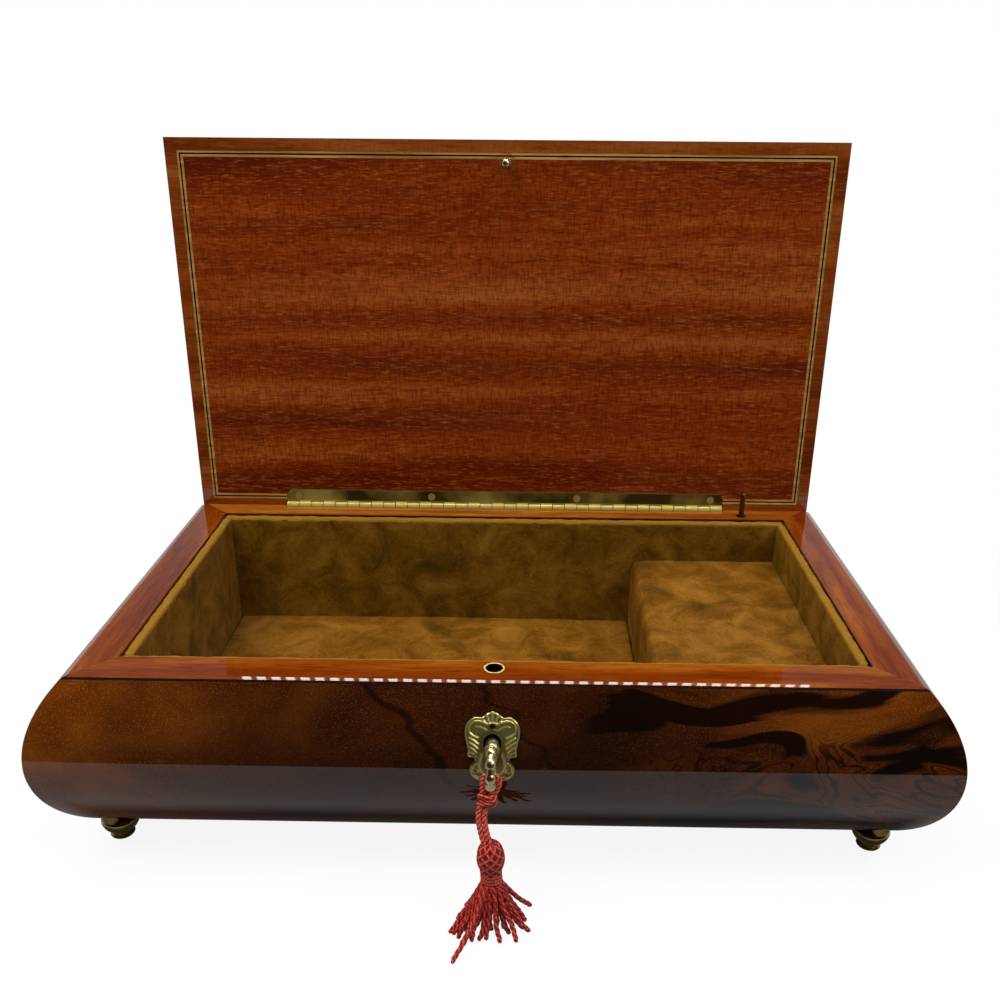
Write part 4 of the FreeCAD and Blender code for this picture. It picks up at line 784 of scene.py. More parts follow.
@dataclass
class Studio:
    """Camera at the photograph's place, a pale floor and soft light. Places are in millimetres, lamps in metres."""

    place: Triple = (9.75, -390.66, 257.94)
    yaw: float = 0.67
    pitch: float = 24.24
    roll: float = 0.47
    focal: float = 1018.47
    centre: tuple[float, float] = (512.16, 565.14)
    image: float = 1000.0
    sensor: float = 36.0
    floor_size: float = 6.0
    white_from: tuple[float, float] = (0.17, 0.34)
    table_edge: float = -0.206
    box_spare: float = 0.065
    box_shade: tuple[float, float] = (0.088, 0.108)
    shade_level: float = 0.05
    floor_level: float = 0.55
    edge_level: float = 0.02
    room: float = 0.26
    row_count: int = 39
    row_left: float = -0.433
    row_pitch: float = 0.0236
    row_width: float = 0.0142
    row_edge: tuple[float, float] = (-0.100, 0.074)
    row_radius: float = 1.3
    row_turn: tuple[float, float] = (46.0, 82.0)
    row_steps: int = 13
    row_strength: float = 13.0

    def build(self) -> None:
        """Sets up the whole studio."""
        self.add_camera()
        self.add_floor()
        self.add_world()
        self.add_lamps()
        self.add_lamp_row()
        bpy.context.scene.view_settings.view_transform = "Standard"

    def add_camera(self) -> None:
        """Adds the camera: forward from yaw and pitch, then rolled about that direction."""
        yaw, pitch, roll = (math.radians(a) for a in (self.yaw, self.pitch, self.roll))
        forward = Vector((-math.sin(yaw) * math.cos(pitch), math.cos(yaw) * math.cos(pitch), -math.sin(pitch)))
        right = Vector((math.cos(yaw), math.sin(yaw), 0.0))
        up = right.cross(forward)
        turned_right = right * math.cos(roll) + up * math.sin(roll)
        turned_up = up * math.cos(roll) - right * math.sin(roll)
        data = bpy.data.cameras.new("studio_camera")
        data.sensor_width = self.sensor
        data.lens = self.focal / self.image * data.sensor_width
        data.shift_x = (self.image / 2 - self.centre[0]) / self.image
        data.shift_y = (self.centre[1] - self.image / 2) / self.image
        data.clip_start = 0.01
        camera = bpy.data.objects.new("studio_camera", data)
        frame = Matrix((turned_right, turned_up, -forward)).transposed().to_4x4()
        frame.translation = Vector(self.place) * MM
        camera.matrix_world = frame
        bpy.context.scene.collection.objects.link(camera)
        bpy.context.scene.camera = camera

    def add_stage(self, name: str, points: Any, faces: Any, material: Material) -> bpy.types.Object:
        """Adds an object of the studio, which isn't part of the box.

        Args:
            name: Name of the object.
            points: Its corners.
            faces: Its faces.
            material: Its material.

        Returns:
            The object.
        """
        mesh = bpy.data.meshes.new(name)
        mesh.from_pydata(points, [], faces)
        mesh.materials.append(material)
        item = bpy.data.objects.new(name, mesh)
        bpy.context.scene.collection.objects.link(item)
        return item

    def add_floor(self) -> None:
        """Adds the pale floor: white paper that keeps the object's shadow, and turns plain white away from it.

        Gloss sees it grey, with a painted shadow under and beside the box, and nearly black before the table's edge.
        """
        paper = Nodes(bpy.data.materials.new("pale_paper"))
        place = paper.add("TexCoord", out="Object")
        rays = paper.add("LightPath").node.outputs
        squeezed = paper.add("VectorMath", (place, (1.0, 1.2, 0.0)), operation="MULTIPLY")
        distance = paper.add("VectorMath", (squeezed,), out="Value", operation="LENGTH")
        clear = paper.add("MapRange", (distance, *self.white_from, 0.9, 1.0), interpolation_type="SMOOTHSTEP")
        share = paper.add("Math", (self.seen_directly(paper, rays), clear), operation="MULTIPLY")
        tone = paper.add("Mix", {
            0: rays["Is Diffuse Ray"], 6: linear("f2f2f2"), 7: linear("8c8c8c")}, out=2, data_type="RGBA")
        matt = paper.add("BsdfDiffuse", (tone,))
        white = paper.add("Emission", (linear("ffffff"), 1.0))
        mixed = paper.add("MixShader", (share, matt, white))
        parts = paper.add("SeparateXYZ", (place,)).node.outputs
        beyond = paper.add("Math", (parts["Y"], self.table_edge), operation="LESS_THAN")
        wide, long = (paper.add("Math", (parts[axis],), operation="ABSOLUTE") for axis in "XY")
        reach = paper.add("Math", (wide, self.box_spare), operation="SUBTRACT")
        reach = paper.add("Math", (reach, long), operation="MAXIMUM")
        # painted shadow under the box, seen only in gloss
        open_floor = paper.add("MapRange", (reach, *self.box_shade, self.shade_level, self.floor_level),
                               interpolation_type="SMOOTHSTEP")
        glow = paper.add("MapRange", {"Value": beyond, "To Min": open_floor, "To Max": self.edge_level})
        mirrored = paper.add("Emission", (linear("ffffff"), glow))
        paper.add("OutputMaterial", (paper.add("MixShader", (rays["Is Glossy Ray"], mixed, mirrored)),))
        size = self.floor_size
        self.add_stage("studio_floor", [(-size, -size, 0), (size, -size, 0), (size, size, 0), (-size, size, 0)],
                       [(0, 1, 2, 3)], paper.owner)

    def seen_directly(self, nodes: Nodes, rays: Any) -> Socket:
        """Returns one for rays of the camera, of gloss and through glass, and zero for the rest."""
        first = nodes.add("Math", (rays["Is Camera Ray"], rays["Is Transmission Ray"]), operation="MAXIMUM")
        return nodes.add("Math", (first, rays["Is Glossy Ray"]), operation="MAXIMUM")

    def add_world(self) -> None:
        """Adds the world: white to the camera, and to gloss a white horizon, a dimmer room and a dark front."""
        bpy.context.scene.world = bpy.data.worlds.new("studio_world")
        world = Nodes(bpy.context.scene.world)
        rays = world.add("LightPath").node.outputs
        way = world.add("SeparateXYZ", (world.add("TexCoord", out="Generated"),)).node.outputs
        height = world.add("MapRange", (way["Z"], 0.12, 0.45, 1.0, 0.2))
        behind = world.add("MapRange", (way["Y"], -0.25, 0.1, 0.02, 1.0))
        gloss = world.add("Math", (height, behind), operation="MULTIPLY")
        seen = self.seen_directly(world, rays)
        level = world.add("Mix", {0: rays["Is Glossy Ray"], 2: 1.0, 3: gloss}, data_type="FLOAT")
        room = world.add("Background", (linear("ffffff"), self.room))
        white = world.add("Background", (linear("ffffff"), level))
        world.add("OutputWorld", (world.add("MixShader", (seen, room, white)),))

    def add_lamps(self) -> None:
        """Adds a large soft key above the left, a fill at the right and a long strip overhead.

        Each row of the plan is name, place, width, depth and power. Only the fill shows in gloss.
        """
        target = Vector((0.0, 0.0, 0.05))
        plan = (("key_lamp", (-0.62, -0.35, 1.20), 0.8, 0.6, 14.0),
                ("fill_lamp", (0.80, -0.30, 1.00), 0.6, 0.2, 7.0),
                ("top_lamp", (0.0, 0.20, 1.35), 1.1, 0.3, 7.0))
        for name, place, width, depth, power in plan:
            data = bpy.data.lights.new(name, "AREA")
            data.shape = "RECTANGLE"
            data.size, data.size_y, data.energy = width, depth, power
            lamp = bpy.data.objects.new(name, data)
            lamp.location = place
            lamp.rotation_euler = (target - Vector(place)).to_track_quat("-Z", "Y").to_euler()
            lamp.visible_glossy = name == "fill_lamp"
            bpy.context.scene.collection.objects.link(lamp)

    def add_lamp_row(self) -> None:
        """Adds a row of slim lamps overhead, which only gloss shows: arcs about the rim's front edge.

        The point at angle t of lamp i is (left + i pitch +- width / 2, y + r cos t, z + r sin t). On arcs about the
        edge that mirrors them, every lamp shows as one upright dash.
        """
        count, steps = self.row_count, self.row_steps
        turn = np.radians(np.linspace(*self.row_turn, steps))
        sides = np.array([-0.5, 0.5])[None] * self.row_width
        points = np.zeros((count, steps, 2, 3))
        points[..., 0] = (self.row_left + self.row_pitch * np.arange(count)[:, None] + sides)[:, None]
        points[..., 1] = (self.row_edge[0] + self.row_radius * np.cos(turn))[None, :, None]
        points[..., 2] = (self.row_edge[1] + self.row_radius * np.sin(turn))[None, :, None]
        start = 2 * (np.arange(count)[:, None] * steps + np.arange(steps - 1)[None])
        faces = np.stack([start, start + 1, start + 3, start + 2], axis=-1)
        lamp = Nodes(bpy.data.materials.new("lamp_white"))
        lamp.add("OutputMaterial", (lamp.add("Emission", (linear("ffffff"), self.row_strength)),))
        row = self.add_stage("lamp_row", points.reshape(-1, 3), faces.reshape(-1, 4).tolist(), lamp.owner)
        row.visible_camera = row.visible_diffuse = row.visible_shadow = False


# Pieces

@dataclass
class Assembly:
    """Sub-assembly of the box."""

    frame: dict[str, Any]

    def dress(self, finish: Any, *names: str) -> None:
        """Puts a finish on nodes that keep their CAD shape.

        Args:
            finish: Finish to put on.
            names: Names of the nodes.
        """
        material = made(finish)
        for name in names:
            piece = self.frame["nodes"][name]
            if not piece.material_slots:
                piece.data.materials.append(material)
            for place in piece.material_slots:
                place.link = "OBJECT"
                place.material = material
            LOG.info("%s: CAD shape in %s", name, material.name)


@dataclass
class Carcase(Assembly):
    """Walls, rim, base and turned feet."""

    foot_sides: int = 48

    def build(self) -> None:
        """Dresses the woodwork and turns the feet."""
        for number, side in enumerate(SIDES):
            grain = Grain.ALONG_X if side in ("front", "rear") else Grain.ALONG_Y
            wall = replace(WALNUT, name=f"{WALNUT.name}_{side}", grain=grain, shift=0.21 * number)
            rim = replace(MAHOGANY, name=f"{MAHOGANY.name}_{side}", grain=grain, shift=0.29 * number - 0.017)
            # the rear rim's lighter colours are a painted reflection of the hinge's brass in the lacquer
            if side == "rear":
                rim = replace(rim, deep="6a2c04", middle="864008", pale="a46220")
            self.dress(wall, f"{side}_wall")
            self.dress(rim, f"rim_{side}")
        self.dress(PLYWOOD, "base_panel")
        self.dress(STEEL, "foot_screws")
        for place in ("front_left", "front_right", "rear_left", "rear_right"):
            self.turn_foot(f"foot_{place}")

    def turn_foot(self, node: str) -> None:
        """Turns one foot: a bowl with a lip over a bead on a small pad.

        Args:
            node: CAD node that it replaces.
        """
        low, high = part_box(node)
        centre = ((low[0] + high[0]) / 2, (low[1] + high[1]) / 2, 0.0)
        profile = smooth_profile([
            (0.0, 2.2), (1.2, 2.2), (1.4, 0.0), (2.6, 0.0), (2.8, 0.4), (3.4, 0.9), (4.3, 1.1), (4.6, 1.66),
            (4.3, 2.3), (3.55, 2.7), (3.5, 3.3), (4.3, 3.9), (5.25, 4.5), (6.0, 5.3), (6.55, 6.2), (6.9, 7.1),
            (7.1, 7.8), (7.1, 8.7), (6.9, 9.15), (6.6, 9.5), (0.0, 9.5)], 110, 0.2)
        shell = Shell()
        shell.add(lathe(profile, centre, self.foot_sides))
        shell.build(node + "_turned", "box", AGED_BRASS, "bright_brass", node)


@dataclass
class Lining(Assembly):
    """Plush pads on the walls, the floor and the box over the movement."""

    reach_out: float = 0.25
    round_top: float = 1.5
    belly: float = 0.35
    overlap: float = 0.2
    bay_skin: float = 2.7

    def build(self) -> None:
        """Makes each pad and dresses the boards behind them."""
        self.dress(PLYWOOD, "bay_partition", "bay_top_board")
        self.wall_pad("front_lining", -1, 1)
        self.wall_pad("rear_lining", 1, 1)
        self.wall_pad("left_lining", -1, 0)
        self.wall_pad("right_lining", 1, 0)
        self.floor_pad()
        self.bay_pad()

    def bar(self, name: str, node: str, section: np.ndarray, start: float, stop: float, axis: int,
            soft: float = 1.2) -> None:
        """Carries a closed section along an axis, drawn in at both ends by a quarter circle.

        The pile's unevenness moves each point along the section's normal by a sum of slow sines.

        Args:
            name: Name of the piece.
            node: CAD node that it replaces.
            section: Outline of shape (n, 2) in the other two axes, in millimetres.
            start: First end along the axis, in millimetres.
            stop: Last end.
            axis: 0 for X or 1 for Y.
            soft: Radius of the ends.
        """
        count = max(24, int((stop - start) / 2.5))
        end = soft * (1 - np.cos(np.linspace(0, math.pi / 2, 6)))
        along = np.unique(np.concatenate([start + end, np.linspace(start + soft, stop - soft, count), stop - end]))
        edge = np.minimum(np.minimum(along - start, stop - along), soft)
        inset = soft - np.sqrt(np.maximum(soft ** 2 - (soft - edge) ** 2, 0.0))
        tangent = unit(np.roll(section, -1, axis=0) - np.roll(section, 1, axis=0))
        normal = np.stack([tangent[:, 1], -tangent[:, 0]], axis=1)
        area = 0.5 * np.sum(section[:, 0] * np.roll(section[:, 1], -1) - np.roll(section[:, 0], -1) * section[:, 1])
        if area < 0:
            normal = -normal
        a, b = section[:, 0][None], section[:, 1][None]
        s = along[:, None]
        uneven = 0.10 * np.sin(0.31 * s + 0.17 * b) + 0.07 * np.sin(0.83 * s - 0.23 * a + 1.3) \
            + 0.05 * np.sin(1.7 * s + 0.61 * b + 0.4 * a)
        move = (uneven - 0.12 - inset[:, None])[..., None] * normal[None]
        plane = section[None] + move
        grid = np.zeros((len(along), len(section), 3))
        grid[..., axis] = s
        grid[..., 1 - axis] = plane[..., 0]
        grid[..., 2] = plane[..., 1]
        shell = Shell()
        shell.add(grid * MM, caps=True)
        # wall pads take the darker, olive copy of the plush: painted shade
        pile = PLUSH if name in ("floor_plush", "bay_plush") else UPRIGHT_PLUSH_PAINTED_SHADE
        # the pads' top height, for the painted highlight along their upper edges
        wear_and_painted_highlight = replace(pile, top=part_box("front_lining")[1][2])
        piece = shell.build(name, "box", wear_and_painted_highlight, "plush", node)

    def wall_section(self, way: int, face: float, back: float, low: float, high: float) -> np.ndarray:
        """Section of a wall pad: flat back, slightly full face, rounded top.

        Args:
            way: -1 or 1, the side that the back is on.
            face: Place of the face.
            back: Place of the back.
            low: Lower edge.
            high: Upper edge.

        Returns:
            Outline in (across, height).
        """
        outer = back + way * self.reach_out
        full = face - way * self.belly
        corners = [(outer, low), (face, low), (full, 0.5 * (low + high)), (face, high), (outer, high)]
        return rounded_loop(corners, [0.4, 0.8, 20.0, self.round_top, 0.6])

    def wall_pad(self, node: str, way: int, across: int) -> None:
        """Makes the pad of one wall. A long wall has two bars, of which the right one stays above the bay.

        Args:
            node: CAD node that it replaces.
            way: -1 for the front or left wall, 1 for the rear or right one.
            across: Axis that the wall stands across: 1 for a long wall, 0 for a side.
        """
        low, high = np.array(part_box(node)) / MM
        face, back = (high[across], low[across]) if way < 0 else (low[across], high[across])
        tall = self.wall_section(way, face, back, low[2], high[2])
        if across == 0:
            self.bar(node + "_plush", node, tall, low[1] - self.overlap, high[1] + self.overlap, 1)
            return
        step_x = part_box("bay_lining")[0][0] / MM + 1.5
        short = self.wall_section(way, face, back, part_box("right_lining")[0][2] / MM, high[2])
        self.bar(node + "_plush_left", node, tall, low[0] - self.reach_out, step_x, 0)
        self.bar(node + "_plush_right", node, short, step_x - 2.0, high[0] + self.reach_out, 0)

    def floor_pad(self) -> None:
        """Makes the padded floor, a little crowned."""
        low, high = np.array(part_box("floor_lining")) / MM
        left, right, edge = low[0] - self.overlap, high[0] + self.overlap, high[2] - 0.4
        crown = (0.5 * (low[0] + high[0]), high[2] + 0.3)
        corners = [(left, low[2]), (right, low[2]), (right, edge), crown, (left, edge)]
        section = rounded_loop(corners, [0.5, 0.5, 2.0, 60.0, 2.0])
        self.bar("floor_plush", "floor_lining", section, low[1] - self.overlap, high[1] + self.overlap, 1, 1.8)

    def bay_pad(self) -> None:
        """Makes the plush over the bay: down its side and across its top, in one skin."""
        low, high = np.array(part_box("bay_lining")) / MM
        inner, under, right = low[0] + self.bay_skin, high[2] - self.bay_skin, high[0] + self.overlap
        corners = [(low[0], low[2]), (inner, low[2]), (inner, under), (right, under), (right, high[2]),
                   (low[0], high[2])]
        section = rounded_loop(corners, [0.4, 0.4, 0.6, 0.4, 1.0, 6.5])
        self.bar("bay_plush", "bay_lining", section, low[1] - self.overlap, high[1] + self.overlap, 1)


class Lid(Assembly):
    """Lid panel, its veneers and the strike pin."""

    def build(self) -> None:
        """Dresses the lid's pieces, which keep their CAD shapes."""
        self.dress(replace(WALNUT, name=WALNUT.name + "_lid", shift=0.9), "lid_panel")
        border = replace(MAHOGANY, name=MAHOGANY.name + "_lid", deep="5e2206", middle="7c380c", pale="96541e",
                         flecks=0.6, ripple=0.3, edge="", shift=0.7)
        self.dress(border, "lid_border")
        low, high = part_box("lid_field")
        ribbon = replace(SAPELE, band_span=(low[2], high[2]), bands=(
            (0.05, "787878"), (0.14, "c8c8c8"), (0.23, "828282"), (0.35, "c8c8c8"), (0.41, "a0a0a0"),
            (0.50, "d2d2d2"), (0.55, "a0a0a0"), (0.64, "dcdcdc"), (0.74, "b4b4b4"), (0.85, "bebebe"),
            (0.95, "828282")))
        self.dress(ribbon, "lid_field")
        self.dress(PALE_LINE, "lid_pale_lines")
        self.dress(DARK_LINE, "lid_dark_line")
        low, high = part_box("strike_pin")
        self.dress(SeatedKnob("knob_under_veneer", 0.5 * (low[2] + high[2])), "strike_pin")


class Hinge(Assembly):
    """Piano hinge, and the ferrule that takes the strike pin."""

    def build(self) -> None:
        """Dresses the leaves, the pin, the screws and the ferrule."""
        low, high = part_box("hinge_pin")
        axis = (0.0, 0.5 * (low[1] + high[1]), 0.5 * (low[2] + high[2]))
        self.dress(RolledBrass("rolled_hinge_brass", axis), "hinge_lower_leaf", "hinge_upper_leaf")
        self.dress(SCREW_BRASS, "hinge_screws")
        low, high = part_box("latch_ferrule")
        self.dress(Ferrule("spun_brass_ferrule", 0.5 * (low[1] + high[1])), "latch_ferrule")
        self.dress(PIN_PAINTED_SHADE, "hinge_pin")


@dataclass
class Front(Assembly):
    """Escutcheon, key, lock, cord and tassel."""

    key_height: float = 58.5
    half_width: float = 85.5
    rim_height: float = 76.0
    bulge: float = 13.6
    bulge_drop: float = 30.5
    bow_y: float = -111.484
    bow_radius: float = 5.6
    cord_diameter: float = 1.9
    cord_forward: float = 5.9
    ply_turn: float = 5.2
    head_top: float = 32.2
    wrap_top: float = 20.6
    skirt_top: float = 16.1

    def build(self) -> None:
        """Makes the plate, the key and the tassel, and dresses the lock."""
        self.dress(STEEL, "lock_case", "lock_bolt", "lock_cam")
        self.escutcheon()
        self.key()
        self.tassel()

    @property
    def tassel_y(self) -> float:
        """Depth at which the tassel hangs."""
        return self.bow_y - self.cord_forward

    def outline(self, count: int) -> np.ndarray:
        """Closed outline of the plate about the keyhole, in millimetres, from the crest round the right side.

        Args:
            count: Points of the whole outline, an even number.

        Returns:
            Pairs of (x, height above the keyhole's centre).
        """
        half = np.array([
            (0.0, 9.8), (0.6, 9.75), (1.3, 9.45), (2.2, 9.0), (3.1, 8.45), (3.9, 8.0), (4.6, 8.1), (5.6, 8.2),
            (6.6, 8.1), (7.7, 7.5), (8.8, 6.5), (9.4, 5.2), (9.6, 3.6), (9.3, 1.7), (8.8, -0.2), (8.4, -2.0),
            (8.5, -3.3), (8.6, -4.2), (7.9, -4.7), (6.9, -4.5), (6.0, -5.0), (5.9, -6.0), (6.7, -6.9),
            (7.5, -7.8), (7.8, -9.0), (7.6, -10.4), (7.2, -11.6), (6.2, -12.7), (4.9, -13.4), (3.4, -13.8),
            (2.0, -14.0), (1.0, -14.2), (0.0, -14.3)])
        right = resampled(half, np.linspace(0, travelled(half)[-1], count // 2 + 1))
        smooth = right.copy()
        smooth[1:-1] = 0.25 * right[:-2] + 0.5 * right[1:-1] + 0.25 * right[2:]
        left = smooth[-2:0:-1] * np.array([-1.0, 1.0])
        return np.concatenate([smooth, left])

    def plate_height(self, x: np.ndarray, v: np.ndarray, edge: np.ndarray) -> np.ndarray:
        """Relief of the casting in millimetres: a rolled rim, crest flutes, a heart of scrolls and leaf veins.

        Each ridge is a bell curve of the distance to a line; the flutes are a cosine of the angle about a
        point under the crest.

        Args:
            x: Place across the plate.
            v: Height above the keyhole's centre.
            edge: Share of the way from the keyhole to the outline, 0 to 1.

        Returns:
            Height above the wall.
        """
        side = np.abs(x)
        height = 0.55 + 0.3 * np.sin(math.pi * np.clip(edge, 0, 1)) ** 0.7
        height += 0.40 * ridge(edge - 0.94, 0.06) + 0.18 * ridge(edge - 0.04, 0.05)
        angle = np.arctan2(side, v - 2.6)
        fan = np.clip((v - 5.9) / 0.9, 0, 1) * np.clip((4.0 - side) / 0.8, 0, 1)
        height += 0.50 * fan * (0.5 + 0.5 * np.cos(angle * 21.0))
        lines = (
            ([(0.0, 6.4), (1.6, 6.1), (3.2, 6.6), (4.6, 7.0), (6.2, 6.9), (7.5, 6.1), (8.1, 4.8), (7.9, 3.5),
              (6.6, 2.5), (5.0, 1.9)], 0.34, 0.42),
            ([(0.0, 4.6), (1.6, 4.0), (2.8, 4.7), (4.4, 5.3), (5.8, 5.2)], 0.30, 0.22),
            ([(7.9, 1.8), (6.4, 1.1), (4.8, -0.2)], 0.34, 0.42), ([(7.8, 0.3), (6.4, -0.4), (5.0, -1.6)], 0.32, 0.40),
            ([(7.6, -1.3), (6.5, -1.9), (5.4, -3.0)], 0.30, 0.36),
            ([(7.8, -2.8), (6.6, -3.2), (5.3, -4.4)], 0.30, 0.30),
            ([(3.6, -3.4), (4.2, -5.4), (4.4, -7.4), (3.6, -9.4), (2.6, -10.6)], 0.45, 0.34),
            ([(5.2, -6.6), (6.6, -7.9), (6.8, -9.4), (5.8, -10.4), (4.7, -9.9), (4.9, -8.9)], 0.34, 0.42),
            ([(6.4, -11.2), (5.0, -12.0), (3.6, -11.6), (3.0, -12.6)], 0.36, 0.38),
        )
        for points, width, rise in lines:
            height += rise * ridge(from_line(side, v, points), width)
        return height

    def escutcheon(self) -> None:
        """Makes the plate: a sheet between the keyhole's edge and the outline, bent to the wall, raised by relief."""
        around, across = 480, 72
        outline = self.outline(around)
        angle = np.arctan2(outline[:, 0], outline[:, 1])
        slot = np.minimum(1.5 / np.maximum(np.abs(np.sin(angle)), 1e-6), 6.0 / np.maximum(-np.cos(angle), 1e-6))
        hole_reach = np.where(np.cos(angle) < -0.3, np.maximum(3.1, np.minimum(slot, 6.0)), 3.1)
        hole = hole_reach[:, None] * np.stack([np.sin(angle), np.cos(angle)], axis=1)
        t = np.linspace(0, 1, across)[:, None, None]
        flat = hole[None] * (1 - t) + outline[None] * t
        x, v = flat[..., 0], flat[..., 1]
        edge = np.broadcast_to(t[..., 0], x.shape)
        height = self.plate_height(x, v, edge)
        face = np.concatenate([np.full((1, around), 0.05), height, np.full((1, around), 0.05)], axis=0)
        x = np.concatenate([x[:1], x, x[-1:]], axis=0)
        v = np.concatenate([v[:1], v, v[-1:]], axis=0)
        level = self.key_height + v
        radius = (self.bulge ** 2 + self.bulge_drop ** 2) / (2 * self.bulge)
        centre_out = self.bulge - radius
        centre_z = self.rim_height - self.bulge_drop
        lift = np.arcsin(np.clip((level - centre_z) / radius, -1, 1))
        reach = radius + face
        grid = np.stack([x, -(self.half_width + centre_out + reach * np.cos(lift)),
                         centre_z + reach * np.sin(lift)], axis=-1)
        shell = Shell()
        shade = np.clip((face - 0.6) / 1.1, 0, 1)
        shell.add(grid * MM, outward=False, relief=shade)
        piece = shell.build("escutcheon_cast", "box", CAST_BRASS, "antique_brass", "escutcheon")
        self.face_outwards(piece)
        self.dress(AGED_BRASS, "escutcheon_pins")

    def face_outwards(self, piece: bpy.types.Object) -> None:
        """Turns an open sheet so that its faces look away from the wall.

        Args:
            piece: Sheet in front of the wall.
        """
        normals = np.zeros(len(piece.data.polygons) * 3)
        piece.data.polygons.foreach_get("normal", normals)
        if normals.reshape(-1, 3)[:, 1].sum() > 0:
            piece.data.flip_normals()

    def key(self) -> None:
        """Makes the key: turned shank along Y and a ring whose wire swells into beads."""
        shell = Shell()
        neck = self.bow_y + self.bow_radius
        tip_start, tip_end = -79.6 - 0.3, -77.9
        profile = smooth_profile([
            (0.0, neck - 0.6), (1.6, neck - 0.4), (2.1, neck + 0.3), (2.4, neck + 1.4), (2.2, neck + 2.6),
            (1.9, neck + 3.1), (2.2, neck + 3.5), (2.7, neck + 4.4), (2.6, neck + 5.6), (2.4, neck + 6.2),
            (2.4, -97.4), (2.1, -97.2), (2.1, tip_start), (1.5, tip_start), (1.5, tip_end), (0.0, tip_end)], 150, 0.15)
        shell.add(lathe(profile, (0.0, 0.0, self.key_height * MM), 40, 1))
        angle = np.linspace(0, 2 * math.pi, 241)[:-1]
        wire = np.full(len(angle), 1.3)
        for turn in (0.0, 45.0, 88.0, 132.0, 180.0, 226.0, 272.0, 316.0):
            gap = np.angle(np.exp(1j * (angle - math.radians(turn)))) * self.bow_radius
            wire = np.maximum(wire, np.sqrt(np.maximum(2.05 ** 2 - gap ** 2, 0.0)))
        around = np.arange(28) * 2 * math.pi / 28
        reach = self.bow_radius + wire[:, None] * np.cos(around)
        grid = np.stack([wire[:, None] * np.sin(around), self.bow_y + reach * np.cos(angle)[:, None],
                         self.key_height + reach * np.sin(angle)[:, None]], axis=-1)
        shell.add(grid * MM, wrap_u=True)
        shell.build("key_turned", "key", KEY_BRASS, "bright_brass", "key")

    def route(self) -> list[Triple]:
        """Points of the cord's route, repeated from the part's source, in metres."""
        loop, low, apart, head = 2.75, self.key_height - self.bow_radius, 1.0, 4.75
        left, right = [], []
        for x, share, rise in ((-0.2, 1.0, -0.03), (-0.8, 0.64, 0.377), (-0.4, 0.24, 0.678)):
            y, z = self.bow_y - share * self.cord_forward, self.head_top + rise * (low - self.head_top)
            left.append((x * head - apart, y, z))
            right.append((x * head + apart, y, z))
        left += [(-loop, self.bow_y, low - 2.2), (-loop, self.bow_y, low + loop)]
        right += [(loop, self.bow_y, low - 2.2), (loop, self.bow_y, low + loop)]
        return [tuple(MM * value for value in point) for point in left + right[::-1]]

    def centreline(self, points: list[Triple]) -> np.ndarray:
        """Reads even points from the NURBS spline of a route.

        Args:
            points: Control points, in metres.

        Returns:
            Points of shape (n, 3), evenly spaced.
        """
        data = bpy.data.curves.new("cord_route", "CURVE")
        data.dimensions = "3D"
        spline = data.splines.new("NURBS")
        spline.points.add(len(points) - 1)
        for target, point in zip(spline.points, points):
            target.co = (*point, 1.0)
        spline.order_u = 3
        spline.use_endpoint_u = True
        spline.resolution_u = 24
        line = bpy.data.objects.new("cord_route", data)
        mesh = bpy.data.meshes.new_from_object(line)
        raw = np.zeros(len(mesh.vertices) * 3)
        mesh.vertices.foreach_get("co", raw)
        raw = raw.reshape(-1, 3)
        bpy.data.objects.remove(line)
        bpy.data.curves.remove(data)
        bpy.data.meshes.remove(mesh)
        return resampled(raw, np.linspace(0, travelled(raw)[-1], 241))

    def tassel(self) -> None:
        """Makes the plied cord, its knot, the netted head, the wrap and the skirt's strands."""
        line = self.centreline(self.route())
        length = float(np.linalg.norm(np.diff(line, axis=0), axis=1).sum())
        shell = Shell()
        tangent = unit(np.gradient(line, axis=0))
        side = unit(np.cross(np.broadcast_to(np.array((0.0, 1.0, 0.0)), tangent.shape), tangent))
        other = np.cross(tangent, side)
        along = np.linspace(0, length / MM, len(line))
        radius = self.cord_diameter / 2
        for ply in range(3):
            turn = 2 * math.pi * (along / self.ply_turn + ply / 3)
            way = np.cos(turn)[:, None] * side + np.sin(turn)[:, None] * other
            grid = tube(line + 0.48 * radius * MM * way, 0.60 * radius * MM, 12, (0.0, 1.0, 0.0))
            # relief: pale crowns and dark hollows of the plies, painted highlight and painted shade
            crown = np.linalg.norm(grid - line[:, None], axis=-1) / (radius * MM)
            shell.add(grid, caps=True, relief=np.clip(2.2 * crown - 1.45, 0, 1))
        cord = shell.build("tassel_cord_plied", "tassel", RED_VISCOSE, "red_cord", "tassel_cord")
        head = self.tassel_head()
        skirt = self.tassel_skirt()
        knot = self.knot()

    def knot(self) -> bpy.types.Object:
        """Makes the knot under the bow: a wire wound two and a bit turns on a flattened ring.

        Returns:
            The piece.
        """
        t = np.linspace(0, 1, 160)
        turn = 2 * math.pi * 2.6 * t + 0.6
        path = np.stack([-0.9 + 2.55 * np.cos(turn) - 0.5 * t, self.bow_y - 1.2 + 1.9 * np.sin(turn),
                         49.4 - 4.4 * t + 0.8 * np.sin(2 * turn)], axis=1) * MM
        lobe = np.cos(3 * np.arange(18) * 2 * math.pi / 18 + 2 * math.pi * t[:, None] * 9)
        shell = Shell()
        shell.add(tube(path, 0.86 * MM * (1 + 0.13 * lobe), 18, (0.0, 0.0, 1.0)), caps=True, relief=0.5 + 0.5 * lobe)
        return shell.build("tassel_knot", "tassel", RED_VISCOSE, "red_cord")

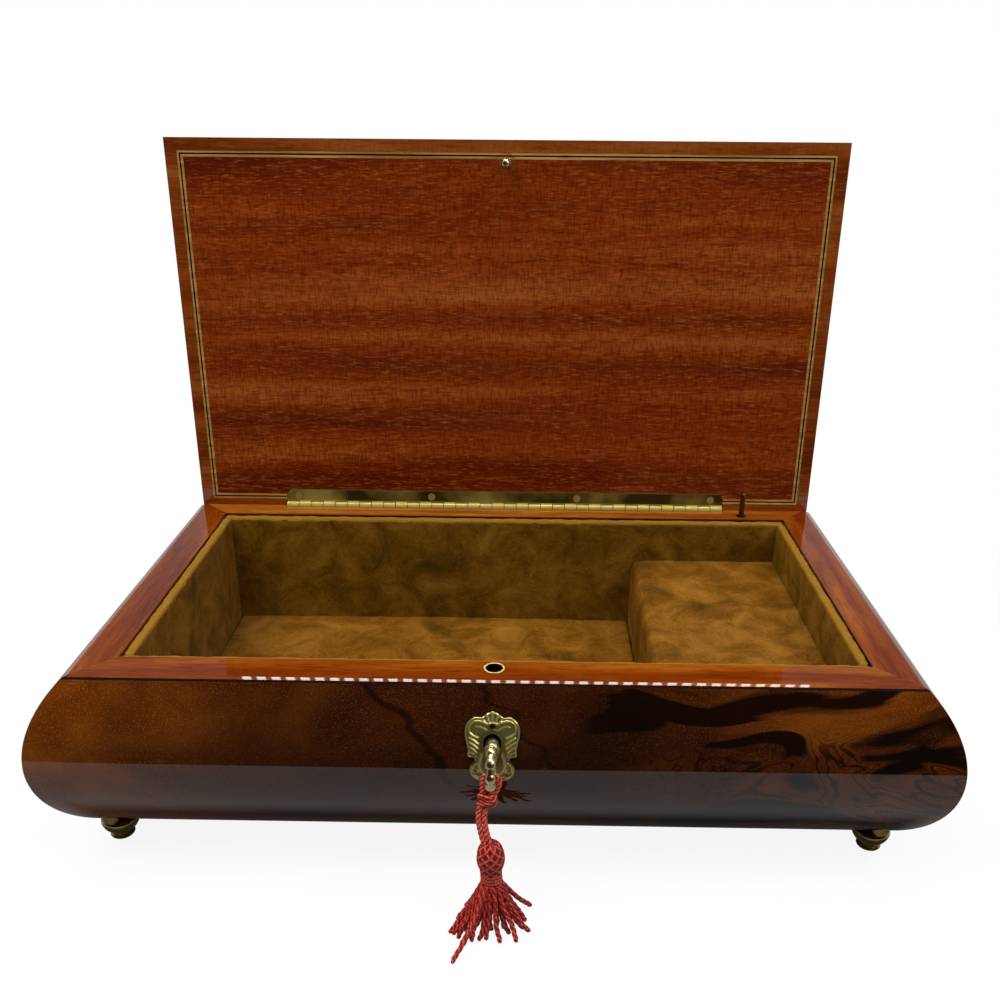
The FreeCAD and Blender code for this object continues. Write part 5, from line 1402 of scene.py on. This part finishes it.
    def tassel_head(self) -> bpy.types.Object:
        """Makes the netted head and the wrapped neck: a lathe whose radius carries crossed ribs, then rings.

        Returns:
            The piece.
        """
        rows, sides = 190, 160
        top, low = self.head_top + 0.4, self.skirt_top - 0.4
        z = np.linspace(top, low, rows)
        share = np.clip((top - z) / (top - self.wrap_top), 0, 1)
        ball = 4.5 * np.sqrt(np.maximum(1 - ((share - 0.52) / 0.56) ** 2, 0.0)) ** 0.85
        ball = np.where(share > 0.5, np.maximum(ball, 3.55), ball)
        neck = z < self.wrap_top
        angle = np.arange(sides) * 2 * math.pi / sides
        a, h = angle[None], z[:, None]
        first, second = np.cos(8 * a + 1.9 * (top - h)), np.cos(8 * a - 1.9 * (top - h))
        net = np.clip(np.maximum(first, second) + 0.25 * np.cos(31 * a + 7.0 * h), 0.05, 1)
        rings = np.abs(np.sin(math.pi * (h + 0.12 * np.sin(a)) / 1.3)) ** 0.7
        lift = np.where(neck[:, None], 0.30 * rings, 0.36 * net)
        reach = np.maximum(np.where(neck, 3.5, ball)[:, None] + lift, 0.3)
        reach[0] = 0.3
        reach[-1] = 3.0
        shade = np.where(neck[:, None], 0.2 + 0.55 * rings, np.clip(0.05 + 0.75 * net, 0, 1))
        lean = np.interp(h, [low, self.wrap_top, top], [0.45, 0.2, 0.0])
        grid = np.stack([lean + reach * np.cos(a), self.tassel_y + reach * np.sin(a),
                         np.broadcast_to(h, reach.shape)], axis=-1)
        shell = Shell()
        shell.add(grid * MM, caps=True, relief=shade)
        return shell.build("tassel_head_netted", "tassel", RED_VISCOSE, "red_cord", "tassel_head")

    def tassel_skirt(self) -> bpy.types.Object:
        """Makes the skirt: corded strands that leave the neck, fall and splay on the table.

        Returns:
            The piece.
        """
        tips = np.array([
            (-14.0, -125.5), (-12.4, -127.0), (-11.0, -128.3), (-9.6, -131.2), (-11.6, -139.6), (-6.6, -129.6),
            (-3.4, -129.4), (-0.8, -129.0), (3.2, -130.4), (9.7, -129.4), (13.6, -124.8), (14.3, -112.4),
            (-9.2, -113.5), (0.2, -124.6), (4.8, -123.6), (8.3, -122.4), (11.4, -124.0), (12.4, -119.4),
            (-11.6, -119.4), (-7.8, -121.4), (-4.6, -123.4), (6.6, -126.2), (2.2, -122.4), (10.2, -117.4),
            (-8.8, -124.9), (-6.0, -116.6), (-6.4, -111.0), (-1.6, -109.2), (3.8, -108.8), (8.6, -112.6),
            (-2.2, -120.6), (6.4, -118.8), (0.6, -113.2), (-1.2, -127.0)])
        count = len(tips)
        direction = np.arctan2(tips[:, 1] - self.tassel_y, tips[:, 0])
        neck = 2.5 + 0.6 * np.cos(5 * direction)
        start = np.stack([0.45 + neck * np.cos(direction), self.tassel_y + neck * np.sin(direction),
                          np.full(count, self.skirt_top + 0.6)], axis=1)
        end = np.column_stack([tips, np.full(count, 1.05)])
        spread = end - start
        first = start + spread * np.array([0.26, 0.26, 0.34])
        second = start + spread * np.array([0.74, 0.74, 0.86])
        second[:, 2] = np.maximum(second[:, 2], 1.9)
        paths = bezier(np.stack([start, first, second, end], axis=1), 90)
        s = np.linspace(0, 1, 90)
        wave = 0.5 * np.sin(2 * math.pi * (1.4 * s[None] + 0.37 * np.arange(count)[:, None])) * s[None]
        across = np.stack([-np.sin(direction), np.cos(direction), np.zeros(count)], axis=1)
        paths = paths + wave[..., None] * across[:, None]
        shell = Shell()
        ends = np.minimum(1.0, 6.0 * (1 - s) + 0.6)
        for path, reference in zip(paths, across):
            reach = np.linalg.norm(np.diff(path, axis=0), axis=1).sum()
            lobe = np.cos(3 * np.arange(12) * 2 * math.pi / 12 + 2 * math.pi * s[:, None] * reach / 2.6)
            grid = tube(path * MM, 0.84 * MM * (1 + 0.11 * lobe) * ends[:, None], 12, tuple(reference))
            shell.add(grid, caps=True, relief=0.42 + 0.34 * lobe)
        return shell.build("tassel_skirt_strands", "tassel", RED_VISCOSE, "red_cord", "tassel_skirt")


class Movement(Assembly):
    """Cylinder movement and the stop that the lid works."""

    def build(self) -> None:
        """Dresses the movement's pieces, which keep their CAD shapes."""
        self.dress(POLISHED_BRASS, "movement_bedplate", "music_cylinder", "drive_wheel", "spring_barrel",
                   "governor_frame", "governor_wheel")
        self.dress(STEEL, "movement_screws", "music_comb", "comb_screws", "mainspring", "winding_arbor",
                   "winding_click", "winding_key", "governor_fan", "stop_lever")
        self.dress(BRONZE, "stop_rod", "rod_bush")


def main() -> None:
    """Builds the studio and every sub-assembly, and reports each piece."""
    logging.basicConfig(level=logging.INFO, format="%(name)s: %(message)s")
    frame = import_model()
    Studio().build()
    for assembly in (Carcase, Lining, Lid, Hinge, Front, Movement):
        assembly(frame).build()
    bpy.context.view_layer.update()


if __name__ == "__main__":
    main()
